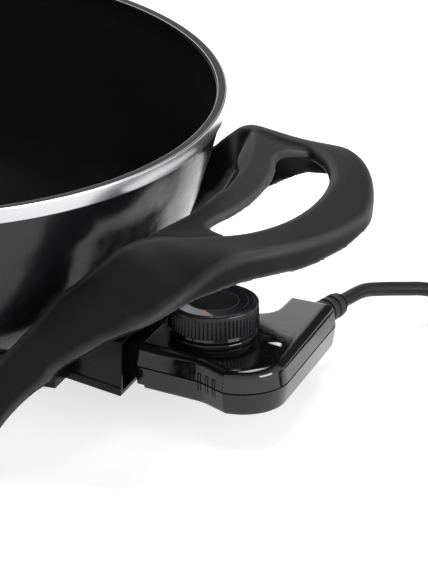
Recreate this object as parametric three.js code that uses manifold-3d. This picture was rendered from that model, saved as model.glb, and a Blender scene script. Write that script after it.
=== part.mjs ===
// Electric wok: a cast pan with a bright rim, two handle frames whose arms run down into legs,
// a flared socket under the right handle and a plug-in thermostat with its dial and lead.
// Millimetres, +Z up. The origin is on the floor under the middle of the pan, and +X points
// to the thermostat.
import * as THREE from 'three';
import { mergeVertices } from 'three/addons/utils/BufferGeometryUtils.js';
import Module from 'manifold-3d';

const wasm = await Module();
wasm.setup();

// Fits shared by every piece
const gap = 0.3;
const overrun = 2;
const deg = Math.PI / 180;

// Pan and rim
const rimHeight = 142;
const rimRadius = 160.5;
const rimWidth = 4.5;
const rimDepth = 7.5;
const rimSheet = 1.3;
const rimBevel = 1.6;
const panFloorZ = 42.5;
const panWall = 3.4;
const panTurnSteps = 45;
// Outer wall of the pan from under the rim ring to the flat bottom: radius as a share of
// panRadius, and drop below the rim as a share of panDepth.
const panWallShares = [
  [0.998, 0.09], [0.968, 0.271], [0.952, 0.352], [0.924, 0.5], [0.888, 0.653], [0.861, 0.754],
  [0.829, 0.834], [0.794, 0.894], [0.744, 0.945], [0.681, 0.975], [0.599, 0.994], [0.505, 1],
];

// Handle frame: gripReach is from the rim to the outer edge of the grip, legSetback is how far in
// from the rim the legs stand, and legAngle is how far round from the handle's middle the foot is.
const gripReach = 82.5;
const legSetback = 20;
const legAngle = 52.5 * deg;
const plateThickness = 6.4;
const sideLean = 1.5;
const swellSkew = 0.6;
const edgeRound = 1.6;
const ridgeRound = 2.6;
const skirtWall = 4.5;
const bandSteps = 19;
// Stations along half of the band, from the middle of the grip to the foot. Each edge of its top
// face has its angle as a share of legAngle, its reach from the rim as a share of gripReach or,
// where it is negative, of legSetback, and its drop below the rim as a share of rimHeight. The
// last numbers are shares of the plate's thickness: how deep the outer side and the pan side are,
// and how far the top swells above its edges.
const bandShares = [
  { inner: [0, 0.691, 0.176], outer: [0, 1, 0.211], sides: [1.3, 1], crown: 0.1 },
  { inner: [0.07, 0.685, 0.176], outer: [0.076, 0.97, 0.211], sides: [1.4, 1], crown: 0.1 },
  { inner: [0.152, 0.661, 0.176], outer: [0.152, 0.927, 0.208], sides: [1.5, 1], crown: 0.12 },
  { inner: [0.23, 0.606, 0.176], outer: [0.229, 0.862, 0.206], sides: [1.6, 1], crown: 0.12 },
  { inner: [0.286, 0.539, 0.176], outer: [0.305, 0.789, 0.205], sides: [1.7, 1], crown: 0.15 },
  { inner: [0.333, 0.448, 0.176], outer: [0.371, 0.704, 0.213], sides: [1.7, 1.1], crown: 0.22 },
  { inner: [0.387, 0.321, 0.174], outer: [0.423, 0.632, 0.243], sides: [1.6, 1.4], crown: 0.25 },
  { inner: [0.453, 0.182, 0.172], outer: [0.48, 0.57, 0.305], sides: [1.3, 2], crown: 0.45 },
  { inner: [0.533, 0.097, 0.2], outer: [0.56, 0.518, 0.359], sides: [1, 2.8], crown: 1.15 },
  { inner: [0.615, 0.042, 0.271], outer: [0.61, 0.453, 0.401], sides: [1, 2.9], crown: 1.2 },
  { inner: [0.667, -0.148, 0.327], outer: [0.642, 0.338, 0.447], sides: [1, 3.6], crown: 1 },
  { inner: [0.705, -0.351, 0.358], outer: [0.678, 0.242, 0.489], sides: [1, 4], crown: 0.8 },
  { inner: [0.747, -0.466, 0.405], outer: [0.709, 0.179, 0.528], sides: [1, 4.1], crown: 0.6 },
  { inner: [0.79, -0.627, 0.465], outer: [0.747, 0.09, 0.577], sides: [1, 3.6], crown: 0.45 },
  { inner: [0.844, -0.775, 0.525], outer: [0.775, 0.042, 0.613], sides: [1, 3.3], crown: 0.3 },
  { inner: [0.905, -0.899, 0.588], outer: [0.798, 0.001, 0.662], sides: [1, 2.3], crown: 0.25 },
  { inner: [0.971, -0.973, 0.662], outer: [0.829, -0.19, 0.701], sides: [1, 1.5], crown: 0.2 },
  { inner: [1.038, -0.998, 0.746], outer: [0.899, -0.45, 0.792], sides: [1, 1.1], crown: 0.15 },
  { inner: [1.101, -0.998, 0.852], outer: [0.96, -0.516, 0.88], sides: [1, 1], crown: 0.12 },
  { inner: [1.143, -0.973, 0.972], outer: [1, -0.524, 0.972], sides: [1, 1], crown: 0.12 },
];
// Half of the bar that runs round the pan and closes the finger opening, from the handle's middle
// to where it sinks into the band: its pan side, which dips towards the arm's skirt, the ridge
// along its top, and its grip side. Shares as in bandShares.
const barShares = [
  { inner: [0, 0.135, 0.181], ridge: [0, 0.158, 0.176], outer: [0, 0.345, 0.176] },
  { inner: [0.095, 0.132, 0.183], ridge: [0.095, 0.156, 0.176], outer: [0.095, 0.34, 0.176] },
  { inner: [0.19, 0.108, 0.197], ridge: [0.19, 0.152, 0.176], outer: [0.171, 0.328, 0.176] },
  { inner: [0.286, 0.07, 0.219], ridge: [0.286, 0.147, 0.176], outer: [0.238, 0.31, 0.177] },
  { inner: [0.381, 0.065, 0.238], ridge: [0.381, 0.145, 0.177], outer: [0.28, 0.325, 0.178] },
  { inner: [0.476, 0.097, 0.254], ridge: [0.47, 0.15, 0.184], outer: [0.305, 0.385, 0.18] },
  { inner: [0.552, 0.133, 0.264], ridge: [0.54, 0.175, 0.214], outer: [0.33, 0.46, 0.184] },
];
const barThickness = 3.8;
const barSteps = 9;

// Rubber feet
const footHeight = 3.7;
const footLength = 20;
const footWidth = 8.6;
const footStudRadius = 1.8;
const footStudLength = 7;

// Steel strap under the pan, from leg to leg of one handle
const strapOffset = 0.469;
const strapWidth = 16;
const strapThickness = 2.4;
const strapTop = 39.7;
const strapInset = 9.5;
const legScrewInset = 5;
const panScrewY = 40.5;
const panBossRadius = 5.5;
const legBossWidth = 13;
const legBossHeight = 9;
const legBossBack = 5.6;

// Screws
const screwRadius = 2;
const screwHeadRadius = 3.8;
const screwHeadHeight = 2.4;
const screwBite = 7;

// Heating element and the plate that holds it under the pan
const elementClear = 16;
const elementTube = 4;
const elementGap = 14 * deg;
const elementSteps = 42;
const elementSides = 7;
const elementArcPoints = 20;
const clampMargin = 10;
const clampThickness = 1.4;
const clampBossRadius = 9;
const clampNotchBack = 8;
const clampNotchWidth = 44;

// Socket under the right handle
const socketAxisZ = 27.6;
const socketFloor = 14;
const socketTop = 41.8;
const socketBackLength = 19.3;
const socketFunnelLength = 32.7;
const socketBackHalf = 35.2;
const socketNeckHalf = 20.4;
const socketMouthHalf = 31.8;
const socketWall = 2;
const socketLipHeight = 4;
const socketLipDepth = 0.8;
const socketScrewY = 27;
const socketPillarRadius = 5.4;
const pinRadius = 3;
const pinSpread = 12;
const pinSetIn = 6;
const pinLength = 38;
const terminalBlockDepth = 7;
const terminalBlockHalf = 18;
const terminalBlockHeight = 14;
const guideLength = 26;
const guideHalf = 5.5;
const guideFloor = 22.5;

// Thermostat case, in plan. The front leg runs out from the socket, the rear leg turns to +Y.
// A reach is measured along +X from the case's inner face.
const caseFloor = 16;
const caseTop = 39;
const caseSplit = 27.7;
const caseWall = 2.2;
const caseStandOff = 3.4;
const caseInnerHalf = 25;
const caseShoulderReach = 36.6;
const caseShoulderHalf = 32.2;
const caseShoulderRadius = 24;
const caseHipReach = 51.6;
const caseElbowHalf = 40.8;
const caseElbowReach = 77.4;
const caseElbowRadius = 23;
const caseEndRightReach = 73.4;
const caseEndRightY = 56.8;
const caseEndLeftReach = 47.6;
const caseEndLeftY = 59.6;
const caseCornerRadius = 2.6;
const caseFilletReach = 47;
const caseFilletY = 36.3;
const caseFilletRadius = 9;
const caseCornerSteps = 3;
const caseNotchLength = 5.5;
const caseNotchHeight = 2.1;
const caseTopRound = 4.4;
const caseTopDraft = 0.9;
const caseFloorRound = 1.8;
const caseFloorDraft = 1.5;
const caseScrewReaches = [[16.6, -20.5], [16.6, 20.5], [63.6, -22]];
const ventWidth = 1.3;
const ventPitch = 4.6;
const ventHeight = 4.6;
const ventCount = 3;
const ventReach = 35.6;

// Nose of the thermostat, its contacts and probe
const noseLength = 20.9;
const noseHalf = 18.5;
const noseHeight = 18;
const noseTenon = 7;
const contactWall = 1;
const contactLength = 17;
const probeRadius = 3;
const probeLength = 71.4;

// Dial
const dialReach = 31.6;
const dialRadius = 21.9;
const dialTop = 56.7;
const dialSkirtZ = 44.6;
const dialSmoothHeight = 3.4;
const dialRidges = 48;
const dialRidgeDepth = 0.55;
const dialLip = 1.8;
const dialRecess = 0.9;
const dialHubRadius = 12.4;
const labelThickness = 0.35;
const bezelRadius = 21;
const bezelWaist = 19.6;
const bezelStep = 2;
const shaftRadius = 3;
const shaftFoot = 24;
const shaftTop = 53;

// Switch body, pilot lamp and pointer window
const switchLength = 26;
const switchWidth = 26;
const switchHeight = 8.5;
const lampRadius = 2.6;
const lampHeight = 17;
const windowReach = 57.6;
const windowLength = 9;
const windowHalf = 2.9;
const windowProud = 0.15;
const windowThickness = 3.2;

// Gland and lead
const glandReach = 60.2;
const glandHeading = 77 * deg;
const glandLength = 23;
const glandRadius = 6.4;
const glandTipRadius = 6;
const glandNeckRadius = 5;
const glandGroove = 1.1;
const glandInside = 5;
const cordDiameter = 7;
const cordSides = 8;
const leadSteps = 30;
const tailSteps = 14;
// Points of the lead between the gland and the coil, and between the coil and the plug
const cordRoute = [
  [204.1, 101.7, 27], [208.5, 110.3, 25], [217.1, 124.2, 21], [223.7, 133.8, 18], [230, 143.6, 12.5],
];
const tailRoute = [[309.8, 100.3, 9.4]];

// Coil of the lead, its tie, and the plug
const coilX = 282;
const coilY = 147;
const coilOuter = 46;
const coilPitch = 7.7;
const coilTurnsPerLayer = 1.75;
const coilStart = 150 * deg;
const coilLift = 0.9;
const coilLayerRise = 7.6;
const coilStepsPerTurn = 24;
const coilSides = 6;
const tieAngle = 60 * deg;
const tieWidth = 9;
const tieSheet = 0.6;
const plugFaceRadius = 18.8;
const plugFaceDepth = 14;
const plugBodyLength = 42;
const plugWaist = 11;
const plugTail = 6.2;
const plugTailLength = 16;
const plugPinRadius = 2.4;
const plugPinLength = 19;
const plugPinSpread = 9.5;
const plugEarthWidth = 8;
const plugEarthSheet = 1.2;
const plugStep = 2.4;
const plugX = 308;
const plugY = 85.3;
const plugHeading = -95 * deg;

// Sizes that follow from the ones above
const panRadius = rimRadius - rimSheet - gap;
const panDepth = rimHeight - panFloorZ;
const legRadius = rimRadius - legSetback;
const strapX = legRadius * Math.cos(legAngle) + strapOffset;
const strapEndY = legRadius * Math.sin(legAngle) - strapInset;
const strapFloor = strapTop - strapThickness;
const legScrewY = strapEndY - legScrewInset;
const panScrewReach = panFloorZ + panWall / 2 - strapFloor - gap;
const socketBackX = strapX - strapWidth / 2;
const socketStepX = socketBackX + socketBackLength;
const socketMouthX = socketStepX + socketFunnelLength;
const socketBackTop = strapFloor - gap;
const pinStartX = socketBackX + pinSetIn;
const pinEndX = pinStartX + pinLength;
const guideStartX = socketBackX - guideLength;
const elementRadius = socketBackX - elementClear - elementTube;
const clampRadius = elementRadius + clampMargin;
const clampNotchX = guideStartX - clampNotchBack;
const caseInnerX = socketMouthX + caseStandOff;
const caseShoulderX = caseInnerX + caseShoulderReach;
const caseHipX = caseInnerX + caseHipReach;
const caseElbowX = caseInnerX + caseElbowReach;
const caseEndRightX = caseInnerX + caseEndRightReach;
const caseEndLeftX = caseInnerX + caseEndLeftReach;
const caseFilletX = caseInnerX + caseFilletReach;
const caseScrewPlaces = caseScrewReaches.map(([reach, y]) => [caseInnerX + reach, y]);
const ventX = caseInnerX + ventReach;
const noseStartX = caseInnerX - noseLength;
const noseEndX = caseInnerX + noseTenon;
const probeTipX = caseInnerX - probeLength;
const dialX = caseInnerX + dialReach;
const windowTipX = caseInnerX + windowReach;
const windowBaseX = windowTipX + windowLength;
const lampX = windowTipX + (windowLength * 2) / 3;
const glandX = caseInnerX + glandReach;
const glandY = THREE.MathUtils.lerp(
  caseEndLeftY, caseEndRightY, (glandX - caseEndLeftX) / (caseEndRightX - caseEndLeftX),
);
const glandSeat = gap * 4;

// Colours and finishes
const castBlack = new THREE.MeshStandardMaterial({ color: 0x0b0b0c, roughness: 0.32, metalness: 0.2 });
const brightMetal = new THREE.MeshStandardMaterial({ color: 0xc9c9cb, roughness: 0.25, metalness: 1 });
const steel = new THREE.MeshStandardMaterial({ color: 0x8f9296, roughness: 0.4, metalness: 1 });
const brass = new THREE.MeshStandardMaterial({ color: 0xb99a4a, roughness: 0.35, metalness: 1 });
const mattePlastic = new THREE.MeshStandardMaterial({ color: 0x232324, roughness: 0.6, metalness: 0 });
const glossPlastic = new THREE.MeshStandardMaterial({ color: 0x0d0d0e, roughness: 0.15, metalness: 0 });
const rubber = new THREE.MeshStandardMaterial({ color: 0x1b1b1c, roughness: 0.85, metalness: 0 });
const cordJacket = new THREE.MeshStandardMaterial({ color: 0x2b2b2c, roughness: 0.55, metalness: 0 });
const ceramic = new THREE.MeshStandardMaterial({ color: 0xd8d3c6, roughness: 0.7, metalness: 0 });
const labelInk = new THREE.MeshStandardMaterial({ color: 0x15151f, roughness: 0.35, metalness: 0 });
const lampGlass = new THREE.MeshStandardMaterial({ color: 0xd9d9d6, roughness: 0.3, metalness: 0 });

// Shape helpers

// Bare positions with shared vertices merged and the faces turned outwards.
function closed(geometry) {
  const bare = new THREE.BufferGeometry();
  bare.setAttribute('position', geometry.getAttribute('position').clone());
  if (geometry.index) bare.setIndex(geometry.index.clone());
  const merged = mergeVertices(bare, 1e-4);
  if (volume(merged) < 0) merged.index.array.reverse();
  return merged;
}

function volume(geometry) {
  const p = geometry.getAttribute('position');
  const index = geometry.index.array;
  const a = new THREE.Vector3();
  const b = new THREE.Vector3();
  const c = new THREE.Vector3();
  let sum = 0;
  for (let i = 0; i < index.length; i += 3) {
    a.fromBufferAttribute(p, index[i]);
    b.fromBufferAttribute(p, index[i + 1]);
    c.fromBufferAttribute(p, index[i + 2]);
    sum += a.dot(b.cross(c));
  }
  return sum / 6;
}

function solid(geometry) {
  const body = closed(geometry);
  const vertProperties = new Float32Array(body.getAttribute('position').array);
  const triVerts = new Uint32Array(body.index.array);
  return new wasm.Manifold(new wasm.Mesh({ numProp: 3, vertProperties, triVerts }));
}

function fromSolid(manifold) {
  const { vertProperties, triVerts } = manifold.getMesh();
  const geometry = new THREE.BufferGeometry();
  geometry.setAttribute('position', new THREE.BufferAttribute(vertProperties, 3));
  geometry.setIndex(new THREE.BufferAttribute(triVerts, 1));
  return geometry;
}

function join(...parts) {
  return parts.reduce((sum, part) => sum.add(part));
}

function cut(body, ...tools) {
  return tools.reduce((sum, tool) => sum.subtract(tool), body);
}

// Box from its two opposite corners.
function block(x0, y0, z0, x1, y1, z1) {
  const geometry = new THREE.BoxGeometry(x1 - x0, y1 - y0, z1 - z0);
  geometry.translate((x0 + x1) / 2, (y0 + y1) / 2, (z0 + z1) / 2);
  return solid(geometry);
}

// Upright round bar.
function post(x, y, z0, z1, radius, sides = 24) {
  const geometry = new THREE.CylinderGeometry(radius, radius, z1 - z0, sides);
  geometry.rotateX(Math.PI / 2);
  geometry.translate(x, y, (z0 + z1) / 2);
  return solid(geometry);
}

// Round bar along +X.
function rod(x0, x1, y, z, radius, sides = 24) {
  const geometry = new THREE.CylinderGeometry(radius, radius, x1 - x0, sides);
  geometry.rotateZ(-Math.PI / 2);
  geometry.translate((x0 + x1) / 2, y, z);
  return solid(geometry);
}

// Turned body about the Z axis from [radius, height] points.
function turned(profile, steps = 48) {
  const points = profile.map(([radius, height]) => new THREE.Vector2(radius, height));
  const geometry = new THREE.LatheGeometry(points, steps);
  geometry.rotateX(Math.PI / 2);
  return geometry;
}

// Flat cap over a ring of points that may be hollowed on one side.
function capFaces(ring) {
  const origin = ring[0];
  const normal = new THREE.Vector3();
  ring.forEach((point, i) => {
    const next = ring[(i + 1) % ring.length];
    normal.add(new THREE.Vector3().crossVectors(point.clone().sub(origin), next.clone().sub(origin)));
  });
  normal.normalize();
  const side = ring[1].clone().sub(origin).normalize();
  side.addScaledVector(normal, -side.dot(normal)).normalize();
  const up = new THREE.Vector3().crossVectors(normal, side);
  const flat = ring.map((point) => {
    const away = point.clone().sub(origin);
    return new THREE.Vector2(away.dot(side), away.dot(up));
  });
  return THREE.ShapeUtils.triangulateShape(flat, []);
}

// Closed body through rings of points that all have the same count.
function loft(rings) {
  const count = rings[0].length;
  const positions = rings.flat().flatMap((point) => [point.x, point.y, point.z]);
  const index = [];
  for (let k = 0; k + 1 < rings.length; k += 1) {
    for (let i = 0; i < count; i += 1) {
      const j = (i + 1) % count;
      const a = k * count + i;
      const b = k * count + j;
      index.push(a, b, b + count, a, b + count, a + count);
    }
  }
  const last = (rings.length - 1) * count;
  for (const [a, b, c] of capFaces(rings[0])) index.push(a, c, b);
  for (const [a, b, c] of capFaces(rings[rings.length - 1])) index.push(last + a, last + b, last + c);
  const geometry = new THREE.BufferGeometry();
  geometry.setAttribute('position', new THREE.Float32BufferAttribute(positions, 3));
  geometry.setIndex(index);
  return geometry;
}

function mirrored(manifold) {
  return manifold.mirror([0, 1, 0]);
}

const wok = new THREE.Group();

function piece(name, shape, material) {
  const geometry = shape instanceof THREE.BufferGeometry ? closed(shape) : fromSolid(shape);
  const mesh = new THREE.Mesh(geometry, material);
  mesh.name = name;
  wok.add(mesh);
  return mesh;
}

// Screw with its head down and its shank up.
function screwUp(x, y, headTop, length) {
  const head = post(x, y, headTop - screwHeadHeight, headTop, screwHeadRadius, 10);
  const shank = post(x, y, headTop - screwHeadHeight / 2, headTop + length, screwRadius, 8);
  return join(head, shank);
}

// Pan
const panOutline = panWallShares.map(([radiusShare, dropShare]) =>
  new THREE.Vector2(radiusShare * panRadius, rimHeight - dropShare * panDepth));

// The outline moved square to itself by a distance.
function offsetOutline(points, distance) {
  return points.map((point, i) => {
    const before = points[Math.max(i - 1, 0)];
    const after = points[Math.min(i + 1, points.length - 1)];
    const along = after.clone().sub(before).normalize();
    return new THREE.Vector2(point.x + along.y * distance, point.y - along.x * distance);
  });
}

function buildPan() {
  const flangeTop = rimHeight - rimSheet - gap;
  const flangeRadius = rimRadius - rimSheet - gap;
  const inner = offsetOutline(panOutline, panWall);
  const mouthRadius = flangeRadius - panWall;
  const profile = [
    [0, panFloorZ],
    ...panOutline.slice().reverse().map((point) => [point.x, point.y]),
    [flangeRadius, rimHeight - rimDepth],
    [flangeRadius, flangeTop],
    [mouthRadius, flangeTop],
    ...inner.map((point) => [point.x, point.y]),
    [0, panFloorZ + panWall],
  ];
  let body = solid(turned(profile, panTurnSteps));
  const middleOfWall = offsetOutline(panOutline, panWall / 2);
  const aboveBosses = solid(turned([
    [0, panFloorZ + panWall / 2],
    ...middleOfWall.slice().reverse().map((point) => [point.x, point.y]),
    [middleOfWall[0].x, rimHeight],
    [0, rimHeight],
  ], panTurnSteps));
  const bossFoot = strapTop + gap;
  for (const x of [-strapX, strapX]) {
    for (const y of [-panScrewY, panScrewY]) {
      body = body.add(post(x, y, bossFoot, rimHeight - rimDepth, panBossRadius).subtract(aboveBosses));
      body = body.subtract(post(x, y, bossFoot - overrun, panFloorZ + panWall / 2, screwRadius + gap, 16));
    }
  }
  const clampTop = panFloorZ - 2 * elementTube - 4 * gap;
  body = body.add(post(0, 0, clampTop + gap, panFloorZ + panWall / 2, clampBossRadius));
  body = body.subtract(post(0, 0, clampTop - overrun, panFloorZ + panWall / 2, screwRadius + gap, 16));
  piece('wok_pan', body, castBlack);
  buildClamp(clampTop);
}

function buildRim() {
  const inside = rimRadius - rimWidth;
  const skirtInside = rimRadius - rimSheet;
  const foot = rimHeight - rimDepth;
  piece('rim_ring', turned([
    [inside, rimHeight],
    [rimRadius - rimBevel, rimHeight],
    [rimRadius, rimHeight - rimBevel],
    [rimRadius, foot],
    [skirtInside, foot],
    [skirtInside, rimHeight - rimSheet],
    [inside, rimHeight - rimSheet],
    [inside, rimHeight],
  ], panTurnSteps), brightMetal);
}

// Heating element, the plate that holds it up, and the probe's guide
function buildClamp(clampTop) {
  const floor = clampTop - clampThickness;
  const plate = post(0, 0, floor, clampTop, clampRadius, 40);
  const notch = block(
    clampNotchX, -clampNotchWidth / 2, floor - overrun,
    clampRadius + overrun, clampNotchWidth / 2, clampTop + overrun,
  );
  const hole = post(0, 0, floor - overrun, clampTop + overrun, screwRadius + gap, 10);
  piece('element_plate', cut(plate, notch, hole), steel);
  piece('element_plate_screw', screwUp(0, 0, floor - gap, screwBite), steel);
  buildGuide(floor);
}

function buildGuide(plateFloor) {
  const top = plateFloor - gap;
  const body = block(
    guideStartX, -guideHalf, guideFloor,
    socketBackX + overrun, guideHalf, socketAxisZ + guideHalf,
  );
  const shelf = block(
    clampNotchX - clampBossRadius, -guideHalf, top - clampThickness * 2,
    guideStartX + overrun, guideHalf, top,
  );
  const web = block(
    guideStartX, -guideHalf, guideFloor,
    guideStartX + overrun * 2, guideHalf, top,
  );
  const boreRadius = probeRadius + gap * 2;
  const bore = rod(guideStartX + overrun * 3, socketBackX + overrun * 2, 0, socketAxisZ, boreRadius);
  piece('probe_guide', cut(join(body, shelf, web), bore), steel);
}

function buildElement() {
  const ringZ = panFloorZ - gap * 2.5 - elementTube;
  const points = [];
  const endX = pinStartX - gap;
  points.push(new THREE.Vector3(endX, pinSpread, socketAxisZ));
  points.push(new THREE.Vector3(endX - elementTube * 2, pinSpread, socketAxisZ));
  const bendX = elementRadius + elementTube * 1.5;
  points.push(new THREE.Vector3(bendX, pinSpread * 1.2, (ringZ + socketAxisZ) / 2));
  const turn = 2 * Math.PI - 2 * elementGap;
  for (let i = 0; i <= elementArcPoints; i += 1) {
    const angle = elementGap + (turn * i) / elementArcPoints;
    points.push(new THREE.Vector3(elementRadius * Math.cos(angle), elementRadius * Math.sin(angle), ringZ));
  }
  for (const point of points.slice(0, 3).reverse()) {
    points.push(new THREE.Vector3(point.x, -point.y, point.z));
  }
  const path = new THREE.CatmullRomCurve3(points, false, 'centripetal');
  piece('heating_element', tube(path, elementTube, elementSides, elementSteps), steel);
}

// Round tube along a curve, with flat closed ends.
function tube(path, radius, sides, steps) {
  const section = new THREE.Shape();
  for (let i = 0; i < sides; i += 1) {
    const angle = (2 * Math.PI * i) / sides;
    const x = radius * Math.cos(angle);
    const y = radius * Math.sin(angle);
    if (i === 0) section.moveTo(x, y);
    else section.lineTo(x, y);
  }
  return new THREE.ExtrudeGeometry(section, { extrudePath: path, steps, bevelEnabled: false });
}

// Handle frame

// A point of the band's or the bar's edge from its shares.
function bandPoint([angleShare, reachShare, dropShare]) {
  const angle = -angleShare * legAngle;
  const span = reachShare < 0 ? legSetback : gripReach;
  const radius = rimRadius + reachShare * span;
  return new THREE.Vector3(radius * Math.cos(angle), radius * Math.sin(angle), rimHeight * (1 - dropShare));
}

function edgeCurve(table, edge) {
  return new THREE.CatmullRomCurve3(table.map((row) => bandPoint(row[edge])), false, 'centripetal');
}

const flip = (point) => new THREE.Vector3(point.x, -point.y, point.z);

// Half of the band: edge points and depths at even steps from the grip to the foot.
function bandStations() {
  const innerCurve = edgeCurve(bandShares, 'inner');
  const outerCurve = edgeCurve(bandShares, 'outer');
  const stations = [];
  for (let i = 0; i <= bandSteps; i += 1) {
    const t = i / bandSteps;
    const place = t * (bandShares.length - 1);
    const k = Math.min(Math.floor(place), bandShares.length - 2);
    const [from, to] = [bandShares[k], bandShares[k + 1]];
    const between = (a, b) => plateThickness * THREE.MathUtils.lerp(a, b, place - k);
    stations.push({
      inner: innerCurve.getPoint(t),
      outer: outerCurve.getPoint(t),
      outerDepth: between(from.sides[0], to.sides[0]),
      innerDepth: between(from.sides[1], to.sides[1]),
      crown: between(from.crown, to.crown),
    });
  }
  return stations;
}

// The whole band: the half, and its mirror image on the other side.
function wholeBand() {
  const half = bandStations();
  const other = half.slice(1).reverse().map((s) => ({ ...s, inner: flip(s.inner), outer: flip(s.outer) }));
  return [...other, ...half];
}

// Section of the band: swelling top, rounded edges, a side face at each edge, hollow underside.
function bandSection({ inner, outer, outerDepth, innerDepth, crown }, along) {
  const flat = outer.clone().sub(inner).normalize();
  const up = new THREE.Vector3().crossVectors(along, flat).normalize();
  const outward = new THREE.Vector3(outer.x, outer.y, 0).normalize();
  if (up.dot(outward) + up.z < 0) up.negate();
  const upright = new THREE.Vector3(0, 0, 1).addScaledVector(along, -along.z);
  const innerRise = up.clone().addScaledVector(upright, sideLean).normalize();
  const outerLean = sideLean * (outerDepth / plateThickness - 1);
  const outerRise = up.clone().addScaledVector(upright, outerLean).normalize();
  const at = (origin, out, lift, rise = up) =>
    origin.clone().addScaledVector(flat, out).addScaledVector(rise, lift);
  const swell = (share) => {
    const rise = 1 - (2 * share ** swellSkew - 1) ** 2;
    return at(inner.clone().lerp(outer, share), 0, crown * rise);
  };
  return [
    at(inner, 0, -innerDepth, innerRise),
    at(inner, 0, -edgeRound, innerRise),
    at(inner, edgeRound, 0),
    swell(0.25),
    swell(0.5),
    swell(0.75),
    at(outer, -ridgeRound, 0),
    at(outer, -ridgeRound / 4, -ridgeRound / 4),
    at(outer, 0, -ridgeRound, outerRise),
    at(outer, 0, -outerDepth, outerRise),
    at(outer, -skirtWall, -outerDepth, outerRise),
    at(outer, -skirtWall - edgeRound, -plateThickness),
    at(inner, skirtWall + edgeRound, -plateThickness),
    at(inner, skirtWall, -innerDepth, innerRise),
  ];
}

function bandRings() {
  const stations = wholeBand();
  return stations.map((station, i) => {
    const before = stations[Math.max(i - 1, 0)];
    const after = stations[Math.min(i + 1, stations.length - 1)];
    const middle = (s) => s.inner.clone().add(s.outer);
    const along = middle(after).sub(middle(before)).normalize();
    return bandSection(station, along);
  });
}

// Section of the bar: it dips from the ridge to the pan side, and its grip side is rounded.
function barSection({ inner, ridge, outer }) {
  const flat = outer.clone().sub(ridge).normalize();
  const at = (origin, out, lift) => {
    const point = origin.clone().addScaledVector(flat, out);
    point.z += lift;
    return point;
  };
  return [
    at(inner, 0, -barThickness),
    at(inner, 0, 0),
    at(ridge, 0, 0),
    at(outer, -edgeRound, 0),
    at(outer, 0, -edgeRound),
    at(outer, 0, -barThickness),
  ];
}

function barRings() {
  const edges = ['inner', 'ridge', 'outer'];
  const curves = edges.map((edge) => edgeCurve(barShares, edge));
  const half = [];
  for (let i = 0; i <= barSteps; i += 1) {
    const [inner, ridge, outer] = curves.map((curve) => curve.getPoint(i / barSteps));
    half.push({ inner, ridge, outer });
  }
  const other = half.slice(1).reverse().map((s) => ({
    inner: flip(s.inner), ridge: flip(s.ridge), outer: flip(s.outer),
  }));
  return [...other, ...half].map(barSection);
}

// Middle of the leg where it is cut off above its foot, and the way its face runs there.
function legEnd() {
  const station = bandStations()[bandSteps];
  const across = station.outer.clone().sub(station.inner).setZ(0).normalize();
  const out = new THREE.Vector3(-across.y, across.x, 0);
  if (out.dot(station.outer) < 0) out.negate();
  const middle = station.inner.clone().add(station.outer).multiplyScalar(0.5);
  middle.addScaledVector(out, -plateThickness / 2);
  return { middle, turn: Math.atan2(across.y, across.x) };
}

// Boss that carries the leg's screw, from behind the screw to the middle of the leg.
function legBoss() {
  const floor = strapTop + gap;
  const level = floor + legBossHeight / 2;
  const stations = bandStations();
  const middles = stations.map((s) => s.inner.clone().add(s.outer).multiplyScalar(0.5));
  const leg = middles.reduce((best, m) => (Math.abs(m.z - level) < Math.abs(best.z - level) ? m : best));
  const screw = new THREE.Vector3(strapX, -legScrewY, leg.z);
  const length = screw.distanceTo(leg);
  const geometry = new THREE.BoxGeometry(length + legBossBack, legBossWidth, legBossHeight);
  geometry.translate((length - legBossBack) / 2, 0, level);
  geometry.rotateZ(Math.atan2(leg.y - screw.y, leg.x - screw.x));
  geometry.translate(screw.x, screw.y, 0);
  return solid(geometry);
}

function buildHandles() {
  const rings = bandRings();
  const drop = new THREE.Vector3(0, 0, -footHeight * 3);
  const foot = (ring) => ring.map((point) => point.clone().add(drop));
  const band = solid(loft([foot(rings[0]), ...rings, foot(rings[rings.length - 1])]));
  const bar = solid(loft(barRings()));
  const boss = legBoss();
  let frame = join(band, bar, boss, mirrored(boss));
  const end = legEnd();
  const studTop = footHeight + footStudLength + gap * 2;
  const stud = post(end.middle.x, end.middle.y, 0, studTop, footStudRadius + gap, 10);
  const hole = post(strapX, -legScrewY, 0, strapTop + gap + screwBite, screwRadius + gap, 12);
  const wide = rimRadius + gripReach + overrun;
  const under = block(-wide, -wide, -rimHeight, wide, wide, footHeight + gap);
  const panRoom = solid(turned([
    [0, panFloorZ - gap],
    ...offsetOutline(panOutline, -gap).reverse().map((point) => [point.x, point.y]),
    [panOutline[0].x + gap, rimHeight],
    [0, rimHeight],
  ], panTurnSteps));
  const strapRoom = block(
    strapX - strapWidth / 2 - gap, -strapEndY - gap, strapFloor - gap,
    strapX + strapWidth / 2 + gap, strapEndY + gap, strapTop + gap / 2,
  );
  frame = cut(frame, under, stud, mirrored(stud), hole, mirrored(hole), panRoom, strapRoom);
  for (const [name, turn] of [['right', 0], ['left', Math.PI]]) {
    piece(`handle_frame_${name}`, frame, mattePlastic).rotation.z = turn;
  }
  buildFeet(end);
}

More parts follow.
